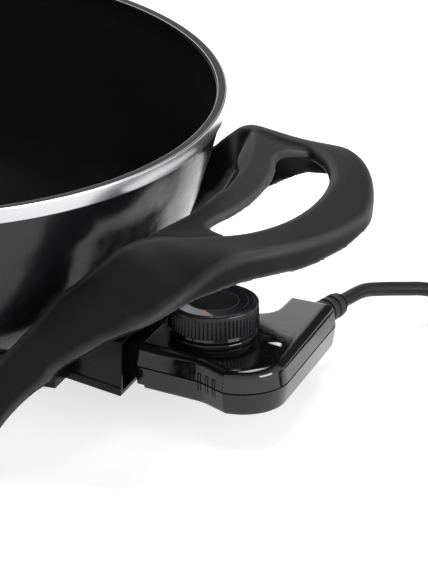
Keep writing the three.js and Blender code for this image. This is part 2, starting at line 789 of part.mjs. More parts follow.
function buildFeet({ middle, turn }) {
  const shape = new THREE.Shape();
  const half = footLength / 2 - footWidth / 2;
  shape.absarc(half, 0, footWidth / 2, -Math.PI / 2, Math.PI / 2);
  shape.absarc(-half, 0, footWidth / 2, Math.PI / 2, 1.5 * Math.PI);
  const pad = new THREE.ExtrudeGeometry(shape, { depth: footHeight, bevelEnabled: false, curveSegments: 5 });
  const stud = post(0, 0, footHeight / 2, footHeight + gap + footStudLength, footStudRadius, 8);
  const foot = join(solid(pad), stud);
  for (const [i, [sx, sy]] of [[1, -1], [1, 1], [-1, 1], [-1, -1]].entries()) {
    const mesh = piece(`foot_pad_${i + 1}`, foot, rubber);
    mesh.position.set(sx * middle.x, sy * Math.abs(middle.y), 0);
    mesh.rotation.z = sx * sy < 0 ? turn : -turn;
  }
}

function buildStraps() {
  for (const [k, side] of [1, -1].entries()) {
    const name = side > 0 ? 'right' : 'left';
    const x = side * strapX;
    const places = [-legScrewY, -panScrewY, panScrewY, legScrewY];
    if (side > 0) places.push(-socketScrewY, socketScrewY);
    const holeRadius = screwRadius + gap;
    const holes = places.map((y) => post(x, y, strapFloor - overrun, strapTop + overrun, holeRadius, 10));
    const bar = block(
      x - strapWidth / 2, -strapEndY, strapFloor,
      x + strapWidth / 2, strapEndY, strapTop,
    );
    piece(`leg_strap_${name}`, cut(bar, ...holes), steel);
    for (const [i, sy] of [-1, 1].entries()) {
      const number = 2 * k + i + 1;
      const legScrew = screwUp(x, sy * legScrewY, strapFloor - gap, strapThickness + screwBite);
      piece(`leg_screw_${number}`, legScrew, steel);
      piece(`pan_screw_${number}`, screwUp(x, sy * panScrewY, strapFloor - gap, panScrewReach), steel);
    }
  }
}

// Socket: a hollow box bolted under the strap, and a funnel that flares out to its mouth
function funnelRing(x, half, floor, top) {
  return [
    new THREE.Vector3(x, -half, floor),
    new THREE.Vector3(x, half, floor),
    new THREE.Vector3(x, half, top),
    new THREE.Vector3(x, -half, top),
  ];
}

function socketHalfAt(x) {
  const share = (x - socketStepX) / (socketMouthX - socketStepX);
  return socketNeckHalf + share * (socketMouthHalf - socketNeckHalf);
}

function socketTopAt(x) {
  const share = (x - socketStepX) / (socketMouthX - socketStepX);
  return socketBackTop + share * (socketTop - socketBackTop);
}

function buildSocket() {
  const back = block(
    socketBackX, -socketBackHalf, socketFloor,
    socketStepX, socketBackHalf, socketBackTop,
  );
  const backCavity = block(
    socketBackX - overrun, -socketBackHalf + socketWall, socketFloor + socketWall,
    socketStepX - socketWall, socketBackHalf - socketWall, socketBackTop - socketWall,
  );
  const ringAt = (x, inset) => funnelRing(
    x, socketHalfAt(x) - inset, socketFloor + inset, socketTopAt(x) - inset,
  );
  const rootX = socketStepX - socketWall / 2;
  const funnel = solid(loft([ringAt(rootX, 0), ringAt(socketMouthX, 0)]));
  const cavity = solid(loft([ringAt(socketStepX, socketWall), ringAt(socketMouthX + overrun, socketWall)]));
  const lipTop = socketFloor + socketLipHeight;
  const lipRing = (x) => funnelRing(x, socketHalfAt(x) + socketLipDepth, socketFloor, lipTop);
  const lip = solid(loft([lipRing(rootX), lipRing(socketMouthX)]));
  let body = join(cut(back, backCavity), cut(join(funnel, lip), cavity));
  for (const y of [-socketScrewY, socketScrewY]) {
    const [foot, head] = [socketFloor + socketWall / 2, socketBackTop - socketWall / 2];
    body = body.add(post(strapX, y, foot, head, socketPillarRadius));
    const through = post(strapX, y, socketFloor - overrun, socketBackTop + overrun, screwRadius + gap, 10);
    body = body.subtract(through);
    const recessTop = socketFloor + screwHeadHeight + gap * 2;
    body = body.subtract(post(strapX, y, socketFloor - overrun, recessTop, screwHeadRadius + gap, 12));
  }
  const wallStart = socketStepX - socketWall - overrun;
  const wallEnd = socketStepX + overrun;
  for (const y of [-pinSpread, pinSpread]) {
    body = body.subtract(rod(wallStart, wallEnd, y, socketAxisZ, pinRadius + gap, 12));
  }
  body = body.subtract(rod(wallStart, wallEnd, 0, socketAxisZ, probeRadius + gap * 2, 12));
  piece('socket_shroud', body, mattePlastic);
  const headTop = socketFloor + gap + screwHeadHeight;
  for (const [i, y] of [-socketScrewY, socketScrewY].entries()) {
    piece(`socket_screw_${i + 1}`, screwUp(strapX, y, headTop, strapTop - headTop), steel);
  }
  buildTerminals();
}

function buildTerminals() {
  const end = socketStepX - socketWall - gap;
  let body = block(
    end - terminalBlockDepth, -terminalBlockHalf, socketAxisZ - terminalBlockHeight / 2,
    end, terminalBlockHalf, socketAxisZ + terminalBlockHeight / 2,
  );
  const start = end - terminalBlockDepth - overrun;
  for (const y of [-pinSpread, pinSpread]) {
    body = body.subtract(rod(start, end + overrun, y, socketAxisZ, pinRadius + gap, 12));
  }
  const bore = rod(start, end + overrun, 0, socketAxisZ, probeRadius + gap * 2, 12);
  piece('terminal_block', body.subtract(bore), ceramic);
  for (const [i, y] of [pinSpread, -pinSpread].entries()) {
    piece(`terminal_pin_${i + 1}`, rod(pinStartX, pinEndX, y, socketAxisZ, pinRadius, 12), brass);
  }
}

// Plan of the thermostat case: corners as [x, y, corner radius], anticlockwise
const caseCorners = [
  [caseInnerX, -caseInnerHalf, caseCornerRadius],
  [caseShoulderX, -caseShoulderHalf, caseShoulderRadius],
  [caseHipX, -caseElbowHalf, caseCornerRadius],
  [caseElbowX, -caseElbowHalf, caseElbowRadius],
  [caseEndRightX, caseEndRightY, caseCornerRadius],
  [caseEndLeftX, caseEndLeftY, caseCornerRadius],
  [caseFilletX, caseFilletY, caseFilletRadius],
  [caseInnerX, caseInnerHalf, caseCornerRadius],
];

// The corners moved inwards by a distance, each side square to itself.
function insetCorners(corners, distance) {
  const count = corners.length;
  const sides = corners.map(([x, y], i) => {
    const [nextX, nextY] = corners[(i + 1) % count];
    const along = new THREE.Vector2(nextX - x, nextY - y).normalize();
    const inward = new THREE.Vector2(-along.y, along.x);
    const start = new THREE.Vector2(x, y).addScaledVector(inward, distance);
    return { start, along };
  });
  return corners.map((corner, i) => {
    const before = sides[(i + count - 1) % count];
    const after = sides[i];
    const turn = before.along.cross(after.along);
    const away = after.start.clone().sub(before.start).cross(after.along) / turn;
    const point = before.start.clone().addScaledVector(before.along, away);
    const radius = Math.max(corner[2] - Math.sign(turn) * distance, gap);
    return [point.x, point.y, radius];
  });
}

// Points round the corners, each corner drawn as an arc of the same number of steps.
function roundCorners(corners, z) {
  const count = corners.length;
  const ring = [];
  corners.forEach(([x, y, radius], i) => {
    const [px, py] = corners[(i + count - 1) % count];
    const [nx, ny] = corners[(i + 1) % count];
    const here = new THREE.Vector2(x, y);
    const back = new THREE.Vector2(px, py).sub(here).normalize();
    const ahead = new THREE.Vector2(nx, ny).sub(here).normalize();
    const half = Math.acos(THREE.MathUtils.clamp(back.dot(ahead), -1, 1)) / 2;
    const bisector = back.clone().add(ahead).normalize();
    const centre = here.clone().addScaledVector(bisector, radius / Math.sin(half));
    const reach = radius / Math.tan(half);
    const from = here.clone().addScaledVector(back, reach).sub(centre);
    const to = here.clone().addScaledVector(ahead, reach).sub(centre);
    const sweep = Math.atan2(from.cross(to), from.dot(to));
    for (let k = 0; k <= caseCornerSteps; k += 1) {
      const angle = (sweep * k) / caseCornerSteps;
      const arm = from.clone().rotateAround(new THREE.Vector2(), angle);
      ring.push(new THREE.Vector3(centre.x + arm.x, centre.y + arm.y, z));
    }
  });
  return ring;
}

// Body through levels of the plan, each level as [height, inset].
function caseStack(levels) {
  return solid(loft(levels.map(([z, inset]) => roundCorners(insetCorners(caseCorners, inset), z))));
}

// Round bar lying in the plan with a heading, from one distance to another.
function barAlong(x, y, z, heading, from, to, radius, sides = 20) {
  const geometry = new THREE.CylinderGeometry(radius, radius, to - from, sides);
  geometry.rotateZ(-Math.PI / 2);
  geometry.translate((from + to) / 2, 0, 0);
  geometry.rotateZ(heading);
  geometry.translate(x, y, z);
  return solid(geometry);
}

const windowPlan = [
  [windowTipX, 0],
  [windowBaseX, -windowHalf],
  [windowBaseX, windowHalf],
];

function windowPrism(z0, z1, margin) {
  const ring = (z) => windowPlan.map(([x, y]) => {
    const away = new THREE.Vector2(x - lampX, y);
    away.setLength(away.length() + margin);
    return new THREE.Vector3(lampX + away.x, away.y, z);
  });
  return solid(loft([ring(z0), ring(z1)]));
}

function ventSlots(z0, z1) {
  const slots = [];
  for (let i = 0; i < ventCount; i += 1) {
    const x = ventX + i * ventPitch;
    slots.push(block(x, -caseElbowHalf - overrun, z0, x + ventWidth, -caseShoulderHalf + caseWall * 2, z1));
  }
  return slots;
}

function buildCase() {
  const topFloor = caseSplit + gap / 2;
  const roundFoot = caseTop - caseTopRound;
  const topLevels = [[topFloor, 0], [roundFoot, caseTopDraft]];
  const roundSteps = 3;
  for (let i = 1; i <= roundSteps; i += 1) {
    const angle = (Math.PI / 2) * (i / roundSteps);
    topLevels.push([
      roundFoot + caseTopRound * Math.sin(angle),
      caseTopDraft + caseTopRound * (1 - Math.cos(angle)),
    ]);
  }
  let top = caseStack(topLevels);
  top = top.subtract(caseStack([
    [topFloor - overrun, caseWall],
    [roundFoot, caseWall + caseTopDraft],
    [caseTop - caseWall, caseWall + caseTopDraft + caseTopRound / 2],
  ]));
  const splitTop = caseSplit - gap / 2;
  let bottom = caseStack([
    [caseFloor, caseFloorDraft + caseFloorRound],
    [caseFloor + caseFloorRound, caseFloorDraft],
    [splitTop, 0],
  ]);
  bottom = bottom.subtract(caseStack([
    [caseFloor + caseWall, caseFloorDraft + caseWall + caseFloorRound / 2],
    [splitTop + overrun, caseWall],
  ]));
  const notch = block(
    caseInnerX - overrun, -caseInnerHalf - overrun, caseFloor - overrun,
    caseInnerX + caseNotchLength, caseInnerHalf + overrun, caseFloor + caseNotchHeight,
  );
  bottom = bottom.subtract(notch);
  for (const [x, y] of caseScrewPlaces) {
    top = top.add(post(x, y, topFloor, caseTop - caseWall / 2, screwRadius * 2, 12));
    top = top.subtract(post(x, y, topFloor - overrun, topFloor + screwBite + gap, screwRadius + gap, 12));
    bottom = bottom.add(post(x, y, caseFloor, splitTop, screwHeadRadius + gap + caseWall / 2, 12));
    bottom = bottom.subtract(post(x, y, caseFloor - overrun, splitTop + overrun, screwRadius + gap, 12));
    const recess = caseFloor + screwHeadHeight + gap * 2;
    bottom = bottom.subtract(post(x, y, caseFloor - overrun, recess, screwHeadRadius + gap, 12));
  }
  const mouth = block(
    caseInnerX - overrun, -noseHalf - gap, socketAxisZ - noseHeight / 2 - gap,
    noseEndX + gap, noseHalf + gap, socketAxisZ + noseHeight / 2 + gap,
  );
  const neck = barAlong(
    glandX, glandY, caseSplit, glandHeading, -glandInside * 2, glandInside * 2, glandNeckRadius + gap,
  );
  const flangeRoom = barAlong(
    glandX, glandY, caseSplit, glandHeading, -glandInside * 2, -caseWall * 1.3, glandNeckRadius + gap * 4,
  );
  const shaftHole = post(dialX, 0, caseSplit, caseTop + overrun, shaftRadius + gap);
  const window = windowPrism(caseSplit + overrun, caseTop + overrun, gap * 2.5);
  top = cut(top, mouth, neck, flangeRoom, shaftHole, window, ...ventSlots(caseSplit, caseSplit + ventHeight));
  bottom = cut(bottom, mouth, neck, flangeRoom, ...ventSlots(caseSplit - ventHeight, caseSplit));
  const carriage = [
    piece('thermostat_top', top, glossPlastic),
    piece('thermostat_bottom', bottom, glossPlastic),
  ];
  for (const [i, [x, y]] of caseScrewPlaces.entries()) {
    const headTop = caseFloor + gap + screwHeadHeight;
    piece(`case_screw_${i + 1}`, screwUp(x, y, headTop, topFloor + screwBite - headTop), steel);
  }
  return carriage;
}

function buildInside() {
  const floor = caseFloor + caseWall + gap;
  const half = switchWidth / 2;
  let body = block(
    dialX - switchLength / 2, -half, floor,
    dialX + switchLength / 2, half, floor + switchHeight,
  );
  body = body.subtract(post(dialX, 0, shaftFoot - gap, floor + switchHeight + overrun, shaftRadius + gap));
  piece('thermostat_switch', body, ceramic);
  piece('pilot_lamp', post(lampX, 0, floor, floor + lampHeight, lampRadius, 12), lampGlass);
  const lensFloor = caseTop - windowThickness;
  piece('pilot_lens', windowPrism(lensFloor, caseTop + windowProud, 0), lampGlass);

  const noseFloor = socketAxisZ - noseHeight / 2;
  let nose = block(noseStartX, -noseHalf, noseFloor, noseEndX, noseHalf, noseFloor + noseHeight);
  const sleeve = pinRadius + gap + contactWall;
  for (const y of [-pinSpread, pinSpread]) {
    const pocketEnd = noseStartX + contactLength + gap;
    nose = nose.subtract(rod(noseStartX - overrun, pocketEnd, y, socketAxisZ, sleeve + gap));
  }
  nose = nose.subtract(rod(noseStartX - overrun, noseEndX + overrun, 0, socketAxisZ, probeRadius + gap));
  piece('thermostat_nose', nose, mattePlastic);
  for (const [i, y] of [pinSpread, -pinSpread].entries()) {
    const tubeBody = rod(noseStartX, noseStartX + contactLength, y, socketAxisZ, sleeve);
    const boreEnd = noseStartX + contactLength + overrun;
    const bore = rod(noseStartX - overrun, boreEnd, y, socketAxisZ, pinRadius + gap);
    piece(`contact_sleeve_${i + 1}`, tubeBody.subtract(bore), brass);
  }
  const probeEndX = dialX - switchLength / 2 - gap;
  const tip = rod(probeTipX, probeTipX + probeRadius, 0, socketAxisZ, probeRadius * 0.7, 10);
  const shank = rod(probeTipX + probeRadius - gap, probeEndX, 0, socketAxisZ, probeRadius, 12);
  piece('probe_rod', join(tip, shank), brightMetal);
}

// Dial: a ribbed knob over a fixed collar, with its scale let into the top
function ridgedRing(radius, depth, z) {
  const ring = [];
  for (let i = 0; i < dialRidges; i += 1) {
    for (const [k, low] of [[0, depth], [0.5, 0]]) {
      const angle = (2 * Math.PI * (i + k)) / dialRidges;
      const r = radius - low;
      ring.push(new THREE.Vector3(dialX + r * Math.cos(angle), r * Math.sin(angle), z));
    }
  }
  return ring;
}

function buildDial() {
  const ribTop = dialTop - dialSmoothHeight;
  const rings = [
    ridgedRing(dialRadius, dialRidgeDepth, dialSkirtZ),
    ridgedRing(dialRadius, dialRidgeDepth, ribTop),
    ridgedRing(dialRadius, 0, ribTop + dialRidgeDepth),
    ridgedRing(dialRadius, 0, dialTop - dialRidgeDepth),
    ridgedRing(dialRadius - dialRidgeDepth, 0, dialTop),
  ];
  let knob = solid(loft(rings));
  const recessFloor = dialTop - dialRecess;
  knob = knob.subtract(post(dialX, 0, recessFloor, dialTop + overrun, dialRadius - dialLip, 36));
  knob = knob.add(post(dialX, 0, recessFloor - gap, dialTop - dialRecess / 3, dialHubRadius, 28));
  knob = knob.subtract(post(dialX, 0, dialSkirtZ - overrun, shaftTop + gap, shaftRadius + gap));
  piece('dial_knob', knob, glossPlastic);
  const labelFloor = recessFloor + gap;
  const label = post(dialX, 0, labelFloor, labelFloor + labelThickness, dialRadius - dialLip - gap, 36);
  const eye = post(dialX, 0, labelFloor - overrun, labelFloor + overrun, dialHubRadius + gap, 28);
  piece('dial_scale', label.subtract(eye), labelInk);
  piece('dial_shaft', post(dialX, 0, shaftFoot, shaftTop, shaftRadius), steel);
  const collarFloor = caseTop + gap;
  const collarTop = dialSkirtZ - gap;
  const bezel = turned([
    [shaftRadius + gap, collarFloor],
    [bezelRadius, collarFloor],
    [bezelRadius, collarFloor + bezelStep],
    [bezelWaist, collarFloor + bezelStep * 1.5],
    [bezelWaist, collarTop],
    [shaftRadius + gap, collarTop],
    [shaftRadius + gap, collarFloor],
  ], 36);
  bezel.translate(dialX, 0, 0);
  piece('dial_collar', bezel, glossPlastic);
}

// Gland: a ribbed sleeve that grips the lead where it leaves the case
function buildGland() {
  const profile = [
    [0, -glandInside],
    [glandNeckRadius + gap * 2, -glandInside],
    [glandNeckRadius + gap * 2, -glandInside + glandGroove],
    [glandNeckRadius, -glandInside + glandGroove],
    [glandNeckRadius, glandSeat],
    [glandRadius, glandSeat],
  ];
  const ribs = 4;
  const pitch = (glandLength - glandSeat) / ribs;
  for (let i = 0; i < ribs; i += 1) {
    const share = i / ribs;
    const radius = THREE.MathUtils.lerp(glandRadius, glandTipRadius, share);
    const start = glandSeat + i * pitch;
    profile.push([radius, start + pitch * 0.55]);
    profile.push([radius - glandGroove, start + pitch * 0.68]);
    profile.push([radius - glandGroove, start + pitch * 0.92]);
    profile.push([radius, start + pitch]);
  }
  profile.push([0, glandLength]);
  const geometry = turned(profile, 14);
  geometry.rotateY(Math.PI / 2);
  geometry.rotateZ(glandHeading);
  geometry.translate(glandX, glandY, caseSplit);
  piece('cord_gland', geometry, rubber);
}

// Lead: the stretch from the gland to the coil, the coil, and the stretch to the plug
const cordRadius = cordDiameter / 2;
const coilFloorZ = coilLift + cordRadius;

// Middle of the wound lead after a number of turns: in along the floor, out again on top.
function coilPoint(turns) {
  const total = 2 * coilTurnsPerLayer;
  const inwards = Math.min(turns, total - turns);
  const radius = coilOuter - coilPitch * inwards;
  const angle = coilStart - 2 * Math.PI * turns;
  const climb = THREE.MathUtils.smoothstep(turns, coilTurnsPerLayer - 0.25, coilTurnsPerLayer + 0.25);
  return new THREE.Vector3(
    coilX + radius * Math.cos(angle),
    coilY + radius * Math.sin(angle),
    coilFloorZ + coilLayerRise * climb,
  );
}

function coilPath() {
  const total = 2 * coilTurnsPerLayer;
  const steps = Math.round(total * coilStepsPerTurn);
  const points = [];
  for (let i = 0; i <= steps; i += 1) points.push(coilPoint((total * i) / steps));
  const first = new THREE.Vector3(Math.sin(coilStart), -Math.cos(coilStart), 0).multiplyScalar(-cordDiameter);
  const last = coilStart - 2 * Math.PI * total;
  const away = new THREE.Vector3(Math.sin(last), -Math.cos(last), 0).multiplyScalar(cordDiameter);
  points.unshift(points[0].clone().add(first));
  points.push(points[points.length - 1].clone().add(away));
  return points;
}

// Least clear space between turns of the coil, measured on the points of its middle line.
function coilClearance(points) {
  let least = Infinity;
  const apart = coilStepsPerTurn / 2;
  for (let i = 0; i < points.length; i += 1) {
    for (let j = i + apart; j < points.length; j += 1) {
      least = Math.min(least, points[i].distanceTo(points[j]) - cordDiameter);
    }
  }
  return least;
}

// Tube through points, with sections square to the way it runs and kept upright. The end
// sections face the given ways, where there are any.
function tubeRings(points, radius, sides, ways = []) {
  return points.map((point, i) => {
    const before = points[Math.max(i - 1, 0)];
    const after = points[Math.min(i + 1, points.length - 1)];
    const along = after.clone().sub(before).normalize();
    if (i === 0 && ways.length) along.copy(ways[0]);
    if (i === points.length - 1 && ways.length) along.copy(ways[1]);
    const side = new THREE.Vector3(along.y, -along.x, 0).normalize();
    const up = new THREE.Vector3().crossVectors(side, along);
    const ring = [];
    for (let k = 0; k < sides; k += 1) {
      const angle = (2 * Math.PI * k) / sides;
      ring.push(point.clone()
        .addScaledVector(side, radius * Math.cos(angle))
        .addScaledVector(up, radius * Math.sin(angle)));
    }
    return ring;
  });
}

// Stretch of lead through places. It sets out and arrives square to what it meets.
function cordStretch(name, places, steps) {
  const curve = new THREE.CatmullRomCurve3(places, false, 'centripetal');
  const points = curve.getSpacedPoints(steps);
  const [start, next] = places;
  const [before, end] = places.slice(-2);
  const ways = [next.clone().sub(start).normalize(), end.clone().sub(before).normalize()];
  piece(name, loft(tubeRings(points, cordRadius, cordSides, ways)), cordJacket);
  return curve.getLength();
}

// The point beyond the second of two points, on the line through them.
function beyond(from, to, distance) {
  return to.clone().add(to.clone().sub(from).setLength(distance));
}

function glandPoint(distance) {
  return new THREE.Vector3(
    glandX + distance * Math.cos(glandHeading),
    glandY + distance * Math.sin(glandHeading),
    caseSplit,
  );
}

function buildCord() {
  const coil = coilPath();
  const [first, second] = coil;
  const [beforeLast, last] = coil.slice(-2);
  const lead = cordStretch('mains_cord', [
    glandPoint(glandLength + gap),
    glandPoint(glandLength + gap + cordDiameter),
    ...cordRoute.map((place) => new THREE.Vector3(...place)),
    beyond(second, first, gap + cordDiameter),
    beyond(second, first, gap),
  ], leadSteps);
  const tail = cordStretch('cord_tail', [
    beyond(beforeLast, last, gap),
    beyond(beforeLast, last, gap + cordDiameter),
    ...tailRoute.map((place) => new THREE.Vector3(...place)),
    plugPoint(-gap - cordDiameter),
    plugPoint(-gap),
  ], tailSteps);
  piece('cord_coil', loft(tubeRings(coil, cordRadius, coilSides)), cordJacket);
  const wound = coil.slice(1).reduce((sum, point, i) => sum + point.distanceTo(coil[i]), 0);
  console.log(`coil: least gap between turns ${coilClearance(coil).toFixed(2)} mm`);
  console.log(`lead: ${(lead + wound + tail).toFixed(0)} mm long`);
  buildTie();
  buildPlug();
}

function buildTie() {
  const turns = (coilStart - tieAngle) / (2 * Math.PI);
  const outer = coilOuter - coilPitch * turns;
  const inner = outer - coilPitch;
  const room = gap * 4;
  const x0 = inner - cordRadius - room;
  const x1 = outer + cordRadius + room;
  const z0 = coilLift - gap;
  const z1 = coilFloorZ + coilLayerRise + cordRadius + gap;
  const outside = block(
    x0 - tieSheet, -tieWidth / 2, z0 - tieSheet,
    x1 + tieSheet, tieWidth / 2, z1 + tieSheet,
  );
  const inside = block(x0, -tieWidth, z0, x1, tieWidth, z1);
  const mesh = piece('coil_tie', outside.subtract(inside), rubber);
  mesh.position.set(coilX, coilY, 0);
  mesh.rotation.z = tieAngle;
}

// Plug: it lies on its waist and on the back edge of its face
const plugLength = plugTailLength + plugBodyLength;
const plugFaceStart = plugLength - plugFaceDepth;
const plugRun = plugFaceStart - plugTailLength;
const plugTilt = Math.atan((plugFaceRadius - plugWaist) / plugRun);
const plugWaistX = plugTailLength + plugStep;
const plugZ = gap / 2 + plugWaist * Math.cos(plugTilt) - plugWaistX * Math.sin(plugTilt);

function plugFrame(geometry) {
  geometry.rotateY(-plugTilt);
  geometry.rotateZ(plugHeading);
  geometry.translate(plugX, plugY, plugZ);
  return geometry;
}

// A point on the plug's middle line, at a distance from its tail.
function plugPoint(distance) {
  const flat = distance * Math.cos(plugTilt);
  return new THREE.Vector3(
    plugX + flat * Math.cos(plugHeading),
    plugY + flat * Math.sin(plugHeading),
    plugZ + distance * Math.sin(plugTilt),
  );
}

function placed(manifold) {
  return solid(plugFrame(fromSolid(manifold)));
}

function buildPlug() {
  const faceStart = plugFaceStart;
  const profile = [
    [0, 0],
    [plugTail - plugStep, 0],
    [plugTail - plugStep / 2, plugTailLength / 2],
    [plugTail, plugTailLength],
    [plugWaist, plugTailLength + plugStep],
    [plugWaist, plugTailLength + plugBodyLength / 3],
    [plugWaist + plugStep * 2, faceStart - plugStep * 2],
    [plugFaceRadius - plugStep / 2, faceStart],
    [plugFaceRadius, faceStart + plugStep],
    [plugFaceRadius, plugLength - plugStep / 2],
    [plugFaceRadius - plugStep / 2, plugLength],
    [0, plugLength],
  ];
  const turnedBody = turned(profile, 18);
  turnedBody.rotateY(Math.PI / 2);
  let body = solid(turnedBody);
  const rootX = plugLength - screwBite;
  const tipX = plugLength + plugPinLength;
  for (const y of [-plugPinSpread, plugPinSpread]) {
    body = body.subtract(rod(rootX, tipX, y, 0, plugPinRadius + gap));
  }
  const groove = plugEarthSheet * 2;
  const cutters = [-1, 1].map((sign) => {
    const heights = [sign * (plugFaceRadius - groove), sign * (plugFaceRadius + overrun)];
    return block(
      faceStart + plugStep * 2, -plugEarthWidth / 2 - gap, Math.min(...heights),
      plugLength + overrun, plugEarthWidth / 2 + gap, Math.max(...heights),
    );
  });
  body = cut(body, ...cutters);
  piece('plug_body', placed(body), rubber);
  for (const [i, y] of [-plugPinSpread, plugPinSpread].entries()) {
    const pin = join(
      rod(rootX + gap, tipX - plugPinRadius, y, 0, plugPinRadius, 12),
      rod(tipX - plugPinRadius - gap, tipX, y, 0, plugPinRadius * 0.75, 10),
    );
    piece(`plug_pin_${i + 1}`, placed(pin), brightMetal);
  }
  for (const [i, sign] of [-1, 1].entries()) {
    const seat = plugFaceRadius - groove + gap;
    const z = [sign * seat, sign * (seat + plugEarthSheet)];
    const clip = block(
      faceStart + plugStep * 2 + gap, -plugEarthWidth / 2, Math.min(...z),
      plugLength - plugStep / 2, plugEarthWidth / 2, Math.max(...z),
    );
    piece(`plug_earth_${i + 1}`, placed(clip), brightMetal);
  }
}

buildPan();
buildRim();
buildElement();
buildHandles();
buildStraps();
buildSocket();
buildCase();
buildInside();
buildDial();
buildGland();
buildCord();

export default wok;
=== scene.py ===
import math

import bmesh
import bpy
from mathutils import Matrix, Vector
from mathutils.kdtree import KDTree


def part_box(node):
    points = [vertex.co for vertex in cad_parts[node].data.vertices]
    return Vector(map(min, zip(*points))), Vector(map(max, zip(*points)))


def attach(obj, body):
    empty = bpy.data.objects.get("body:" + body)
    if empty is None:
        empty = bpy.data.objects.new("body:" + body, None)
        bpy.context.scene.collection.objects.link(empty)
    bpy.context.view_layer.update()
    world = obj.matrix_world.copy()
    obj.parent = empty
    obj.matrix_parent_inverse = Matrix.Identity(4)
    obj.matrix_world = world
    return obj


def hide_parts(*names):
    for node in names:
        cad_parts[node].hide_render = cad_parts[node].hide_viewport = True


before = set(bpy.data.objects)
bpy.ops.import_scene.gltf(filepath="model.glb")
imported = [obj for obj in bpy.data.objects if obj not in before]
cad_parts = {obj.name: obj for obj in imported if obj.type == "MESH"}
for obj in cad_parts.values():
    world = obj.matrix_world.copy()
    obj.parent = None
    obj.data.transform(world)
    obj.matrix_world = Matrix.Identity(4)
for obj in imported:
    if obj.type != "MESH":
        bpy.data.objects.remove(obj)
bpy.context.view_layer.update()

MM = 0.001
WELD = 0.000002
FACES_UP, FACES_DOWN, FACES_INWARD = 0.3, -0.6, -0.2


# Helpers: small geometry tools. Shapes are worked out in millimetres and stored in metres.

def link(obj):
    bpy.context.scene.collection.objects.link(obj)
    return obj


def polar(radius, angle, height=0):
    return Vector((radius * math.cos(angle), radius * math.sin(angle), height))


def mesh_object(name, points, faces, angle=35):
    """A piece from its points in millimetres and its faces, shaded smooth up to an edge angle."""
    work = bmesh.new()
    corners = [work.verts.new(Vector(p) * MM) for p in points]
    for face in faces:
        work.faces.new([corners[i] for i in face])
    bmesh.ops.remove_doubles(work, verts=work.verts, dist=WELD)
    bmesh.ops.dissolve_degenerate(work, edges=work.edges, dist=WELD)
    bmesh.ops.recalc_face_normals(work, faces=work.faces)
    mesh = bpy.data.meshes.new(name)
    work.to_mesh(mesh)
    work.free()
    shade(mesh, angle)
    return link(bpy.data.objects.new(name, mesh))


def shade(mesh, angle):
    """Smooth shading, with a hard edge where two faces meet at more than the angle in degrees."""
    work = bmesh.new()
    work.from_mesh(mesh)
    for face in work.faces:
        face.smooth = True
    for edge in work.edges:
        edge.smooth = len(edge.link_faces) != 2 or edge.calc_face_angle() < math.radians(angle)
    work.to_mesh(mesh)
    work.free()


def stack(name, rings, angle=35, closed=True):
    """A body through rings that have the same number of points."""
    count = len(rings[0])
    points = [p for ring in rings for p in ring]
    faces = []
    for k in range(len(rings) - 1):
        for i in range(count):
            j = (i + 1) % count
            a, b = k * count + i, k * count + j
            faces.append((a, b, b + count, a + count))
    if closed:
        faces.append(tuple(reversed(range(count))))
        faces.append(tuple(range((len(rings) - 1) * count, len(rings) * count)))
    return mesh_object(name, points, faces, angle)


def turned(name, profile, steps=64, place=(0, 0, 0), angle=35, turn=None):
    """A turned body about Z from its (radius, height) points, moved to its place."""
    rings = []
    for radius, height in profile:
        ring = []
        for i in range(steps):
            point = polar(radius, 2 * math.pi * i / steps, height)
            ring.append((turn @ point if turn else point) + Vector(place))
        rings.append(ring)
    return stack(name, rings, angle, closed=False)


def filleted(corners, steps=4):
    """A flat outline from (x, y, fillet radius) corners, each drawn as an arc."""
    out = [corners[0][:2]]
    for before, corner, after in zip(corners, corners[1:], corners[2:]):
        here = Vector(corner[:2])
        radius = corner[2] if len(corner) > 2 else 0
        back = Vector(before[:2]) - here
        ahead = Vector(after[:2]) - here
        if radius <= 0 or back.length * ahead.length == 0:
            out.append(tuple(here))
            continue
        half = back.angle(ahead) / 2
        reach = min(radius / math.tan(half), back.length * 0.49, ahead.length * 0.49)
        start = here + back.normalized() * reach
        end = here + ahead.normalized() * reach
        for k in range(steps + 1):
            share = k / steps
            out.append(tuple(start.lerp(here, share).lerp(here.lerp(end, share), share)))
    out.append(corners[-1][:2])
    return out


def block(name, low, high):
    x0, y0, z0 = low
    x1, y1, z1 = high
    ring = [(x0, y0), (x1, y0), (x1, y1), (x0, y1)]
    return stack(name, [[(x, y, z) for x, y in ring] for z in (z0, z1)])


def baked(obj):
    """Puts the result of the modifiers into the mesh."""
    bpy.context.view_layer.update()
    result = bpy.data.meshes.new_from_object(obj.evaluated_get(bpy.context.evaluated_depsgraph_get()))
    obj.modifiers.clear()
    obj.data = result
    return obj


def carved(obj, cutters, operation="DIFFERENCE", angle=35):
    """Cuts bodies out of a piece, or joins them to it, and removes them."""
    for cutter in cutters:
        modifier = obj.modifiers.new("carve", "BOOLEAN")
        modifier.solver = "EXACT"
        modifier.operation = operation
        modifier.object = cutter
    baked(obj)
    for cutter in cutters:
        bpy.data.objects.remove(cutter)
    shade(obj.data, angle)
    return obj


